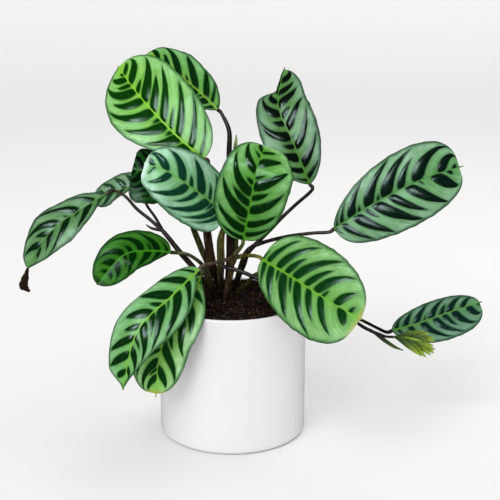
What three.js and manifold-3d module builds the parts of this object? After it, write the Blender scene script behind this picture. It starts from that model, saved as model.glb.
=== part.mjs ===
// Fishbone prayer plant (Ctenanthe) in a straight white ceramic cover pot.
//
// Millimetres, +Z up. The origin is the centre of the pot's foot, and -Y is the front.
// The plant is a clump of shoots standing in holes in the soil. Each shoot carries one to three
// petioles, and each petiole ends 0.6 mm short of the blade that it holds.

import * as THREE from 'three';
import Module from 'manifold-3d';
import { mergeVertices } from 'three/addons/utils/BufferGeometryUtils.js';

// ---------------------------------------------------------------- driving dimensions

const GAP = 0.3;                  // clearance between pieces that touch

const POT_RADIUS = 70;
const POT_HEIGHT = 131;
const POT_WALL = 3.6;
const POT_FLOOR = 6;
const POT_FOOT_INSET = 5;         // how far the flat foot lies inside the wall
const ROUND_SEGMENTS = 48;

const SOIL_TOP = 126.5;
const SOIL_BUMP = 1.1;            // height of the low lumps on the soil
const SOIL_RINGS = [60, 48, 36, 24, 12];

const HOLE_BOTTOM = 99;           // the shoots stand this high above the surface under the pot
const HOLE_CLEARANCE = 1;
const STEM_SIDES = 6;
const STEM_STEP = 9;              // length of one stretch of a stem
const PULVINUS_RADIUS = 1.8;      // the swollen joint under a blade
const PULVINUS_NECK = 1.5;
const PULVINUS_LENGTH = 6;
const BLADE_GAP = 0.6;            // between a petiole and its blade

const BLADE_THICKNESS = 0.8;
const MIDRIB_DEPTH = 0.9;         // how far the midrib stands out of the underside
const BLADE_BASE_HALF_WIDTH = 1.4;
const BLADE_END = 0.97;           // the blade proper ends here, and a short point follows
const POINT_HALF_WIDTH = 1.6;
const POINT_START = 0.93;
const POINT_END_HALF_WIDTH = 0.4;
const FOLDED_SHARE = 0.85;
const FOLD_LENGTH = 0.1;
const BLADE_ROWS = 12;
const BLADE_COLUMNS = [-1, -0.72, -0.4, -0.08, 0, 0.08, 0.4, 0.72, 1];

// ---------------------------------------------------------------- leaves
//
// midrib  four points from the blade's base to its tip
// left    greatest width of the left half, and how blunt its outline is at the base and the tip:
//         0.5 is an ellipse's end, less is blunter and more is sharper
// right   the same of the right half
// faces   the way that the upper side looks
// twist   turn of the blade about its midrib, in degrees from the middle to either end
// fold    how far each half lifts from the midrib, left and right, in degrees
// roll    how far each half then turns on its way to the margin, in degrees
// wave    height of the margin's waves, their number and their phase

const LEAVES = {
  a: {
    midrib: [[-26, 12, 262], [-56, 26, 286], [-88, 50, 316], [-114, 90, 342]],
    left: [38, 1.3, 1], right: [43, 0.4, 0.35], faces: [-0.2, -0.85, 0.5],
    twist: 0, fold: [14, 14], roll: [-24, -24], wave: [1.6, 2.5, 0.1],
  },
  b: {
    midrib: [[-14, 52, 303], [-33, 68, 319], [-60, 92, 338], [-86, 120, 353]],
    left: [27, 0.65, 0.48], right: [25, 0.65, 0.48], faces: [-0.1, -0.62, 0.78],
    twist: 0, fold: [12, 12], roll: [-24, -24], wave: [1.4, 2.5, 0.4],
  },
  c: {
    midrib: [[74, 30, 235], [58, 40, 274], [44, 56, 308], [51, 84, 341]],
    left: [28, 0.7, 1.1, 0.67], right: [30, 0.6, 0.5], faces: [-0.1, -0.9, 0.4],
    twist: 0, fold: [22, 14], roll: [-24, -24], wave: [2, 2.5, 0.7],
  },
  d: {
    midrib: [[11, -32, 196], [17, -50, 233], [23, -54, 266], [31, -26, 283]],
    left: [33, 0.45, 0.55], right: [34, 0.4, 0.2], faces: [0.02, -0.98, 0.1],
    twist: 0, fold: [12, 12], roll: [-30, -30], wave: [1.4, 2.5, 0.2],
  },
  e: {
    midrib: [[-5, -6, 215], [-32, -20, 239], [-58, -32, 260], [-80, -26, 266]],
    left: [32, 0.2, 0.27], right: [29, 0.5, 0.5], faces: [0.3, -0.9, 0.2],
    twist: 0, fold: [12, 12], roll: [-26, -26], wave: [1.4, 2.5, 0.6],
  },
  f: {
    midrib: [[96, 2, 198], [136, 6, 223], [180, 12, 244], [218, 22, 254]],
    left: [34, 0.65, 0.3], right: [37, 0.38, 0.35], faces: [0, -0.95, 0.3],
    twist: 0, fold: [10, 10], roll: [-22, -22], wave: [1.4, 2.5, 0.3],
  },
  g: {
    midrib: [[28, -40, 180], [56, -68, 170], [86, -98, 158], [113, -122, 149]],
    left: [41, 0.32, 0.42], right: [38, 0.5, 0.3], faces: [-0.45, -0.7, 0.55],
    twist: 0, fold: [10, 10], roll: [-26, -26], wave: [1.4, 2.5, 0.8],
  },
  h: {
    midrib: [[152, -12, 102], [179, -4, 107], [211, 4, 116], [241, 12, 123]],
    left: [16, 0.5, 0.5], right: [25, 0.55, 0.35], faces: [0.05, -0.85, 0.5],
    twist: 0, fold: [12, 12], roll: [-20, -20], wave: [1.2, 2.5, 0.3],
  },
  j: {
    midrib: [[-118, 14, 229], [-140, 4, 217], [-168, -8, 198], [-192, -14, 161]],
    left: [22, 1.3, 1.1], right: [21, 0.8, 0.6], faces: [0.1, -0.6, 0.8],
    twist: 10, fold: [14, 14], roll: [-26, -26], wave: [1.8, 2.5, 0.5],
  },
  k: {
    midrib: [[-57, -9, 178], [-77, -22, 183], [-99, -36, 182], [-123, -46, 156]],
    left: [18.5, 1, 0.6], right: [20, 0.4, 0.45], faces: [0.25, -0.85, 0.45],
    twist: 0, fold: [12, 12], roll: [-24, -24], wave: [1.4, 2.5, 0.2],
  },
  l: {
    midrib: [[-29, -38, 170], [-52, -72, 155], [-81, -96, 130], [-95, -104, 76]],
    left: [27, 1.4, 1.4], right: [28, 0.42, 0.4, 0.87], faces: [-0.1, -0.85, 0.5],
    twist: 0, fold: [10, 4], roll: [-40, -60], wave: [1.6, 2.5, 0.4],
  },
  m: {
    midrib: [[-28, -28, 161], [-40, -63, 137], [-62, -74, 107], [-68, -77, 61]],
    left: [25, 1.1, 0.55], right: [25, 0.6, 0.32], faces: [-0.1, -0.9, 0.4],
    twist: 0, fold: [12, 12], roll: [-24, -24], wave: [1.4, 2.5, 0.1],
  },
  n: {
    midrib: [[-45, 24, 240], [-62, 20, 245], [-79, 18, 249], [-95, 18, 252]],
    left: [33, 0.5, 0.18], right: [25, 0.5, 0.18], faces: [0.1, -0.8, 0.6],
    twist: 0, fold: [10, 10], roll: [-24, -24], wave: [1.4, 2.5, 0.6],
  },
  p: {
    midrib: [[-83, 46, 235], [-102, 48, 228], [-120, 46, 223], [-137, 42, 216]],
    left: [15, 1.6, 0.3], right: [16, 0.4, 0.7], faces: [0, -0.8, 0.6],
    twist: 0, fold: [30, 12], roll: [-24, -24], wave: [1.4, 2.5, 0.9],
  },
};

// ---------------------------------------------------------------- shoots
//
// foot      where the shoot stands in the soil
// branches  the first goes on upwards from the foot, and the others start on an earlier one, each
//           with its radius at every point. A branch that names a leaf ends at that blade's base.

const SHOOTS = {
  front: {
    foot: [-6.5, 1.5],
    branches: [
      { route: [[-4, 0, 144], [-1, -3, 158], [0, -8, 172]], radii: [2.4, 2.6, 2.5] },
      { route: [[0, -8, 172], [7, -20, 184]], radii: [2.3, 1.8], leaf: 'd' },
      { route: [[0, -8, 172], [13, -20, 178]], radii: [2.3, 1.9], leaf: 'g' },
      { route: [[0, -8, 172], [-9, -17, 172]], radii: [2.1, 1.7], leaf: 'l' },
    ],
  },
  right: {
    foot: [3, 33],
    branches: [
      { route: [[5, 31, 141], [10, 26, 157], [14, 22.5, 169], [21, 20, 177]],
        radii: [2.4, 3.1, 2.9, 2.2] },
      { route: [[21, 20, 177], [36, 16, 183], [55, 10, 189], [76, 5, 193]], radii: [1.9, 1.6, 1.5, 1.4],
        leaf: 'f' },
      { route: [[21, 20, 177], [35, 24, 190], [48, 28, 203], [61, 30, 215]], radii: [1.8, 1.6, 1.5, 1.4],
        leaf: 'c' },
    ],
  },
  low: {
    foot: [-10, 9],
    branches: [
      { route: [[-10, 1, 148], [-9, -7, 164]], radii: [2.2, 2] },
      { route: [[-9, -7, 164], [1, -13, 163], [12, -16, 160], [30, -18, 153], [64, -22, 143], [118, -24, 118],
        [134, -21, 109]], radii: [2.1, 2, 2, 2, 1.7, 1.5, 1.4], leaf: 'h' },
    ],
  },
  flowering: {
    foot: [6, 24],
    branches: [
      { route: [[7.5, 23, 132.5], [14, 18, 139], [25, 10, 152], [55, -4, 158], [92, -24, 142],
        [116, -31, 117], [130, -34, 109], [138, -35, 106]], radii: [2, 2, 2, 1.9, 1.7, 1.6, 1.6, 1.5] },
      { route: [[138, -35, 106], [143, -36, 104.5], [150, -36, 104]], radii: [1.4, 1.2, 1.2] },
    ],
  },
  left: {
    foot: [-17, 14],
    branches: [
      { route: [[-20, 12.5, 134.5], [-26, 10, 142], [-38, 7, 160], [-49, 5, 174], [-59, 6, 187],
        [-65, 8, 194]], radii: [2.4, 2.8, 2.8, 2.6, 2.3, 2.1] },
      { route: [[-65, 8, 194], [-77, 12, 204], [-90, 15, 214], [-99, 17, 224], [-106, 18, 229]],
        radii: [1.7, 1.5, 1.4, 1.3, 1.4], leaf: 'j' },
      { route: [[-65, 8, 194], [-73, 18, 205], [-83, 32, 216], [-84, 44, 227]],
        radii: [1.6, 1.4, 1.3, 1.3], leaf: 'p' },
      { route: [[-66, 8, 195], [-75, 7, 197], [-81, 6, 201]], radii: [1.7, 1.3, 0.5] },
    ],
  },
  upper: {
    foot: [-13, 25],
    branches: [
      { route: [[-15, 23, 142], [-19, 18, 156], [-23.5, 14, 189], [-25, 9.5, 222]],
        radii: [2.4, 4, 3.6, 2.1], leaf: 'a' },
    ],
  },
  back: {
    foot: [-5, 32],
    branches: [
      { route: [[-3.5, 32, 157], [-2.8, 34, 179], [-3, 38, 225], [-3, 42, 262], [-3, 44, 284]],
        radii: [2.4, 2.6, 2.3, 2.1, 1.8], leaf: 'b' },
      { route: [[-3.5, 32, 150], [1.4, 34, 160], [2.9, 36, 178], [4, 38, 205], [3.6, 40, 235],
        [2.4, 41, 263]], radii: [2, 2.6, 2.6, 2, 1.5, 1.2] },
    ],
  },
  middle: {
    foot: [-11, 17],
    branches: [
      { route: [[-11.5, 14, 146], [-10.8, 11, 163], [-10.7, 7, 185], [-7, 2, 200]],
        radii: [2.3, 3.2, 3, 2.1], leaf: 'e' },
    ],
  },
  outer: {
    foot: [-21, 21],
    branches: [
      { route: [[-23, 27, 152], [-31, 25.5, 175], [-39, 22, 200], [-41, 19, 224]],
        radii: [2.2, 2.7, 2.4, 1.8], leaf: 'n' },
    ],
  },
  side: {
    foot: [-16, 5],
    branches: [
      { route: [[-20, -2, 140]], radii: [2.2], leaf: 'm' },
      { route: [[-19, -1, 138], [-23, -2, 151], [-27, -4, 163], [-33, -6, 170], [-42, -8, 176]],
        radii: [2.1, 2, 2, 1.8, 1.6], leaf: 'k' },
    ],
  },
};

// ---------------------------------------------------------------- helpers

const wasm = await Module();
wasm.setup();

const radians = THREE.MathUtils.degToRad;
const lerp = THREE.MathUtils.lerp;
const vector = (point) => new THREE.Vector3(...point);
const curveThrough = (points) => new THREE.CatmullRomCurve3(points, false, 'catmullrom', 0.5);

function geometryFrom(positions, indices) {
  const geometry = new THREE.BufferGeometry();
  geometry.setAttribute('position', new THREE.Float32BufferAttribute(positions, 3));
  geometry.setIndex(indices);
  return geometry;
}

// A closed geometry as a solid. Triangles that vanish when their corners are merged are dropped.
function solidFrom(source) {
  const plain = source.clone();
  plain.deleteAttribute('normal');
  plain.deleteAttribute('uv');
  const merged = mergeVertices(plain, 1e-4);
  const corners = merged.index.array;
  const kept = [];
  for (let i = 0; i < corners.length; i += 3) {
    const [a, b, c] = [corners[i], corners[i + 1], corners[i + 2]];
    if (a !== b && b !== c && c !== a) kept.push(a, b, c);
  }
  return new wasm.Manifold(new wasm.Mesh({
    numProp: 3,
    vertProperties: new Float32Array(merged.attributes.position.array),
    triVerts: new Uint32Array(kept),
  }));
}

function geometryOf(solid) {
  const mesh = solid.getMesh();
  return geometryFrom(mesh.vertProperties, Array.from(mesh.triVerts));
}

// The union of closed geometries. A cavity that the union seals is filled.
function fused(geometries) {
  const whole = geometries.map(solidFrom).reduce((sum, piece) => sum.add(piece));
  return whole.decompose().reduce((a, b) => (a.volume() > b.volume() ? a : b));
}

// A closed skin over rings of equal size, with a flat cap on each end.
function loft(rings) {
  const sides = rings[0].length;
  const positions = rings.flat().flatMap((point) => point.toArray());
  const indices = [];
  for (let ring = 0; ring < rings.length - 1; ring += 1) {
    for (let side = 0; side < sides; side += 1) {
      const a = ring * sides + side;
      const b = ring * sides + (side + 1) % sides;
      indices.push(a, b, b + sides, a, b + sides, a + sides);
    }
  }
  const last = (rings.length - 1) * sides;
  for (let side = 1; side < sides - 1; side += 1) {
    indices.push(0, side + 1, side, last, last + side, last + side + 1);
  }
  return geometryFrom(positions, indices);
}

// A stem through the points, with the radius given at each of them. It is round, or an ellipse
// that is flatter across its wide side, which starts in the direction that is given.
function stem(points, radii, step = STEM_STEP, wide = [1, 0.2, 0.1], flatness = 1) {
  const curve = curveThrough(points);
  const spans = points.length - 1;
  const count = Math.max(2 * spans, Math.round(curve.getLength() / step));
  const rings = [];
  let across = vector(wide);
  for (let i = 0; i <= count; i += 1) {
    const t = i / count;
    const centre = curve.getPoint(t);
    const along = curve.getTangent(t);
    across = across.clone().addScaledVector(along, -across.dot(along)).normalize();
    const other = along.clone().cross(across);
    const span = Math.min(Math.floor(t * spans), spans - 1);
    const radius = lerp(radii[span], radii[span + 1], t * spans - span);
    const ring = [];
    for (let side = 0; side < STEM_SIDES; side += 1) {
      const angle = (2 * Math.PI * side) / STEM_SIDES;
      ring.push(centre.clone()
        .addScaledVector(across, radius * Math.cos(angle))
        .addScaledVector(other, flatness * radius * Math.sin(angle)));
    }
    rings.push(ring);
  }
  return loft(rings);
}

// ---------------------------------------------------------------- blades

// The width of one half of a blade at a share of its length: a rounded oblong with a short point.
// A half that is folded away near the tip keeps only a strip beyond its last number.
function halfWidth([widest, base, tip, folded = 1], along) {
  const peak = base / (base + tip);
  const share = Math.min(along / BLADE_END, 1);
  const kept = 1 - FOLDED_SHARE * THREE.MathUtils.smoothstep(along, folded, folded + FOLD_LENGTH);
  const body = kept * (share / peak) ** base * ((1 - share) / (1 - peak)) ** tip;
  if (along < 0.5) return Math.max(widest * body, BLADE_BASE_HALF_WIDTH);
  const point = POINT_HALF_WIDTH * Math.min(1, (1 - along) / (1 - POINT_START));
  return Math.max(Math.hypot(widest * body, point), POINT_END_HALF_WIDTH);
}

// A point of the blade's middle surface: along runs from the base to the tip, and across from
// the left margin (-1) over the midrib (0) to the right margin (1), seen from above.
function bladePoint(leaf, curve, along, across) {
  const tangent = curve.getTangentAt(along);
  const turn = radians(leaf.twist * (2 * along - 1));
  const side = tangent.clone().cross(vector(leaf.faces)).normalize().applyAxisAngle(tangent, turn);
  const up = side.clone().cross(tangent);
  const half = across < 0 ? 0 : 1;
  const outline = across < 0 ? leaf.left : leaf.right;
  const distance = Math.abs(across) * halfWidth(outline, along);
  const fold = radians(leaf.fold[half]);
  const bend = radians(leaf.roll[half]) / outline[0];
  const outwards = (Math.sin(fold + bend * distance) - Math.sin(fold)) / bend;
  const lift = (Math.cos(fold) - Math.cos(fold + bend * distance)) / bend;
  const [height, count, phase] = leaf.wave;
  const swing = Math.sin(2 * Math.PI * (count * along + phase + 0.3 * half));
  const reach = (distance / outline[0]) ** 2;
  return curve.getPointAt(along)
    .addScaledVector(side, Math.sign(across) * outwards)
    .addScaledVector(up, lift + height * reach * swing);
}

function bladeNormal(leaf, curve, along, across) {
  const step = 0.004;
  const before = Math.max(along - step, 0);
  const after = Math.min(along + step, 1);
  const left = Math.max(across - 0.05, -1);
  const right = Math.min(across + 0.05, 1);
  const lengthwise = bladePoint(leaf, curve, after, across)
    .sub(bladePoint(leaf, curve, before, across));
  const crosswise = bladePoint(leaf, curve, along, right)
    .sub(bladePoint(leaf, curve, along, left));
  return crosswise.cross(lengthwise).normalize();
}

// A closed thin blade. Both faces share one grid and one way of splitting it into triangles.
function blade(leaf) {
  const rows = BLADE_ROWS;
  const columns = BLADE_COLUMNS;
  const curve = curveThrough(leaf.midrib.map(vector));
  const upper = [];
  const lower = [];
  for (let row = 0; row <= rows + 1; row += 1) {
    const share = (1 - Math.cos((Math.PI * Math.min(row, rows)) / rows)) / 2;
    const along = row > rows ? 1 : share * BLADE_END;
    for (const across of columns) {
      const point = bladePoint(leaf, curve, along, across);
      const normal = bladeNormal(leaf, curve, along, across);
      const keel = across === 0 ? MIDRIB_DEPTH * (1 - 0.8 * along) : 0;
      upper.push(point.clone().addScaledVector(normal, BLADE_THICKNESS / 2));
      lower.push(point.clone().addScaledVector(normal, -BLADE_THICKNESS / 2 - keel));
    }
  }
  const wide = columns.length;
  const under = upper.length;
  const indices = [];
  for (let row = 0; row <= rows; row += 1) {
    for (let column = 0; column < wide - 1; column += 1) {
      const a = row * wide + column;
      const b = a + 1;
      const c = b + wide;
      const d = a + wide;
      indices.push(a, b, c, a, c, d);
      indices.push(under + a, under + c, under + b, under + a, under + d, under + c);
    }
  }
  const edge = [];
  for (let column = 0; column < wide - 1; column += 1) edge.push(column);
  for (let row = 0; row <= rows; row += 1) edge.push(row * wide + wide - 1);
  for (let column = wide - 1; column > 0; column -= 1) edge.push((rows + 1) * wide + column);
  for (let row = rows + 1; row > 0; row -= 1) edge.push(row * wide);
  edge.forEach((a, i) => {
    const b = edge[(i + 1) % edge.length];
    indices.push(a, under + a, under + b, a, under + b, b);
  });
  return geometryFrom([...upper, ...lower].flatMap((point) => point.toArray()), indices);
}

// ---------------------------------------------------------------- shoots

// The last points of a petiole: straight on to the blade's base, one gap short of it.
function petioleEnd(leaf) {
  const curve = curveThrough(leaf.midrib.map(vector));
  const base = curve.getPointAt(0);
  const along = curve.getTangentAt(0);
  return [
    base.clone().addScaledVector(along, -PULVINUS_LENGTH),
    base.clone().addScaledVector(along, -BLADE_GAP),
  ];
}

function shoot({ foot: [x, y], branches }) {
  const pieces = branches.map((branch, i) => {
    const route = branch.route.map(vector);
    const radii = [...branch.radii];
    if (i === 0) {
      const heights = [HOLE_BOTTOM, (HOLE_BOTTOM + SOIL_TOP) / 2, SOIL_TOP + 3];
      route.unshift(...heights.map((z) => new THREE.Vector3(x, y, z)));
      radii.unshift(radii[0], radii[0], radii[0]);
    }
    if (branch.leaf) {
      route.push(...petioleEnd(LEAVES[branch.leaf]));
      radii.push(PULVINUS_NECK, PULVINUS_RADIUS);
    }
    return stem(route, radii);
  });
  return fused(pieces);
}

// ---------------------------------------------------------------- pot and soil

function potGeometry() {
  const inner = POT_RADIUS - POT_WALL;
  const rim = POT_WALL / 2;
  const profile = [new THREE.Vector2(0, 0), new THREE.Vector2(POT_RADIUS - POT_FOOT_INSET, 0)];
  for (let i = 1; i <= 3; i += 1) {
    const angle = (Math.PI / 2) * (i / 3);
    profile.push(new THREE.Vector2(
      POT_RADIUS - POT_FOOT_INSET + POT_FOOT_INSET * Math.sin(angle),
      POT_FOOT_INSET * (1 - Math.cos(angle)),
    ));
  }
  for (let i = 0; i <= 4; i += 1) {
    const angle = Math.PI * (i / 4);
    profile.push(new THREE.Vector2(
      POT_RADIUS - rim + rim * Math.cos(angle),
      POT_HEIGHT - rim + rim * Math.sin(angle),
    ));
  }
  profile.push(new THREE.Vector2(inner, POT_FLOOR + 3));
  profile.push(new THREE.Vector2(inner - 3, POT_FLOOR));
  profile.push(new THREE.Vector2(0, POT_FLOOR));
  return new THREE.LatheGeometry(profile, ROUND_SEGMENTS).rotateX(Math.PI / 2);
}

function soilHeight(x, y) {
  return SOIL_BUMP * (Math.sin(x * 0.21 + 1.3) * Math.cos(y * 0.17 - 0.4)
    + 0.5 * Math.sin((x + y) * 0.33)) + 1.2 * Math.exp(-((x + 8) ** 2 + (y - 17) ** 2) / 700);
}

function soilSolid() {
  const outer = POT_RADIUS - POT_WALL - GAP;
  const floor = POT_FLOOR + GAP;
  const profile = [
    new THREE.Vector2(0, floor),
    new THREE.Vector2(outer - 3, floor),
    new THREE.Vector2(outer, floor + 3),
    new THREE.Vector2(outer, SOIL_TOP - 1),
    ...SOIL_RINGS.map((radius) => new THREE.Vector2(radius, SOIL_TOP)),
    new THREE.Vector2(0, SOIL_TOP),
  ];
  const fill = new THREE.LatheGeometry(profile, ROUND_SEGMENTS).rotateX(Math.PI / 2);
  const place = fill.attributes.position;
  for (let i = 0; i < place.count; i += 1) {
    if (place.getZ(i) > SOIL_TOP - 0.5) {
      place.setZ(i, SOIL_TOP + soilHeight(place.getX(i), place.getY(i)));
    }
  }
  return Object.values(SHOOTS).reduce((soil, { foot: [x, y], branches }) => {
    const hole = branches[0].radii[0] + HOLE_CLEARANCE;
    const floorOfHole = HOLE_BOTTOM - GAP;
    const depth = SOIL_TOP + 10 - floorOfHole;
    const drill = new THREE.CylinderGeometry(hole, hole, depth, 10)
      .rotateX(Math.PI / 2)
      .translate(x, y, floorOfHole + depth / 2);
    return soil.subtract(solidFrom(drill));
  }, solidFrom(fill));
}

// ---------------------------------------------------------------- flower spike and small parts

// The spike is a comb of flat pointed bracts on a short axis, and each row leans its own way.
const SPIKE_AXIS = [[150.4, -36, 104], [160, -37, 104], [169, -38, 102.7], [178, -39, 100.5]];
const SPIKE_FLATNESS = 0.5;
const SPIKE_SIDE = [0.2, 0, 1];
const BRACT_TIPS = {
  lower: [[175.5, -44, 88.3], [180, -43, 86.5], [184.5, -41, 87.8], [187.5, -39, 89]],
  middle: [[187, -40, 97], [188.5, -41, 93.5], [188.5, -38.5, 101]],
  upper: [[175, -33, 109], [179, -34, 108.7], [183.3, -36, 108], [187, -38, 104.5]],
};
const BRACT_HALF_WIDTH = { lower: 3.3, middle: 3, upper: 2.5 };

function spikeSolid() {
  const axis = curveThrough(SPIKE_AXIS.map(vector));
  const pieces = [stem(SPIKE_AXIS.map(vector), [1.3, 1.8, 1.6, 0.8], 5)];
  for (const [row, tips] of Object.entries(BRACT_TIPS)) {
    const half = BRACT_HALF_WIDTH[row];
    tips.forEach((tip, i) => {
      const root = axis.getPointAt(0.08 + 0.26 * i);
      const end = vector(tip);
      const belly = root.clone().lerp(end, 0.45).addScaledVector(vector(SPIKE_SIDE), half * 0.25);
      pieces.push(stem([root, belly, end], [half * 0.55, half, 0.4], 5, SPIKE_SIDE, SPIKE_FLATNESS));
    });
  }
  return fused(pieces);
}

// The flowering stalk ends in a narrow green bract with a sharp tip.
const STALK_BRACT_ROUTE = [[139, -35.9, 103.3], [143, -37, 100.4], [150.5, -39, 95.7],
  [159, -41, 92.6]];
const STALK_BRACT_RADII = [0.8, 1.9, 1.6, 0.4];

// A small pointed bud on a stalk of its own, beside the leaf at the back.
const BUD_ROUTE = [[2.3, 41, 263.7], [2.9, 40.8, 269], [3.7, 40.4, 275], [4, 40, 281]];
const BUD_RADII = [1.2, 1.9, 1.5, 0.4];

// The dead end of the drooping leaf, crumpled and hooked.
const DEAD_TIP_ROUTE = [[-190.3, -13.8, 164], [-193, -14, 155], [-195, -14, 147], [-190, -13, 141]];
const DEAD_TIP_RADII = [1.2, 3, 4.4, 1.4];
const DEAD_TIP_SIDE = [1, 0, 0.2];
const DEAD_TIP_FLATNESS = 0.45;

function deadTip() {
  return stem(DEAD_TIP_ROUTE.map(vector), DEAD_TIP_RADII, 3, DEAD_TIP_SIDE, DEAD_TIP_FLATNESS);
}

// ---------------------------------------------------------------- materials and nodes

const finish = (color, roughness) => new THREE.MeshStandardMaterial({ color, roughness, metalness: 0 });

const MATERIALS = {
  pot: finish(0xf3f2f0, 0.28),
  soil: finish(0x2a1f18, 0.95),
  stem: finish(0x3b2a24, 0.5),
  leaf: finish(0x3f8a45, 0.38),
  spike: finish(0x8cc24a, 0.5),
};

const group = new THREE.Group();

function addNode(name, geometry, material) {
  const mesh = new THREE.Mesh(geometry, material);
  mesh.name = name;
  group.add(mesh);
}

addNode('pot', potGeometry(), MATERIALS.pot);
addNode('soil', geometryOf(soilSolid()), MATERIALS.soil);
for (const [name, parts] of Object.entries(SHOOTS)) {
  addNode(`shoot_${name}`, geometryOf(shoot(parts)), MATERIALS.stem);
}
for (const [name, leaf] of Object.entries(LEAVES)) {
  const whole = name === 'j' ? geometryOf(fused([blade(leaf), deadTip()])) : blade(leaf);
  addNode(`leaf_${name}`, whole, MATERIALS.leaf);
}
addNode('flower_spike', geometryOf(spikeSolid()), MATERIALS.spike);
addNode('stalk_bract', stem(STALK_BRACT_ROUTE.map(vector), STALK_BRACT_RADII, 4), MATERIALS.spike);
addNode('bud', stem(BUD_ROUTE.map(vector), BUD_RADII, 3), MATERIALS.spike);

export default group;
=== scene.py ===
"""A fishbone prayer plant (Ctenanthe) in a straight white pot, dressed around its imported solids.

Lengths in the tables are millimetres and become metres when a mesh is made. +Z is up, and -Y is
the front. Every blade, stem and bract follows the same curves as its solid, with finer faces.
"""

import math

import bpy
import numpy as np
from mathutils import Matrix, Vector


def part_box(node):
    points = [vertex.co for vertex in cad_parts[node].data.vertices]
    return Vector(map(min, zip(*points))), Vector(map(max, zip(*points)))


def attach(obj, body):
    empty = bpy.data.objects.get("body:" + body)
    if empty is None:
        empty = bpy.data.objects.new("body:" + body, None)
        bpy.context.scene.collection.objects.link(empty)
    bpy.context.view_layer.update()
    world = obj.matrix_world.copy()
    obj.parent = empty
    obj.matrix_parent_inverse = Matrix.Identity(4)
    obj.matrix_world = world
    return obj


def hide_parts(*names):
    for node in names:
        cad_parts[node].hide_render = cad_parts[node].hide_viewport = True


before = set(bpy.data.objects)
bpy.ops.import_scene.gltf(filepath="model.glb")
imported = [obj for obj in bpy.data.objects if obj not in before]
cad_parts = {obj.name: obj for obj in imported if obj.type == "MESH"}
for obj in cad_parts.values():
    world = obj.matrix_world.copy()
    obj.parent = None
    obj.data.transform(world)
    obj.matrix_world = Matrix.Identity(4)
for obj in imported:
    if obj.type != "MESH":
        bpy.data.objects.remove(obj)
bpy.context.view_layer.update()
_, POT_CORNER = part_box("pot")

bl_info = {
    "name": "Potted ctenanthe",
    "version": (1, 0, 0),
    "blender": (4, 5, 0),
    "location": "View3D > Sidebar > Ctenanthe",
    "description": "Builds the leaves, shoots, flower spike, soil and pot of a potted ctenanthe",
    "category": "Object",
}

# One millimetre, in metres.
MM = 0.001

# Stands in for 0 where a number is divided by it or raised to a power.
TINY = 1e-4

# ------------------------------------------------------------------------------ leaves
#
# Left and right are as seen from above a blade, with its tip pointing away.
#
# midrib  four points from the blade's base to its tip
# left    greatest width of the left half, how blunt its outline is at the base and at the tip,
#         and, for a half that is folded away near the tip, where the fold starts
# right   the same of the right half
# faces   the way that the upper side looks
# twist   turn of the blade about its midrib, in degrees from the middle to either end
# fold    how far each half lifts from the midrib, left and right, in degrees
# roll    how far each half then turns on its way to the margin, in degrees
# wave    height of the margin's waves, their number and their phase

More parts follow.
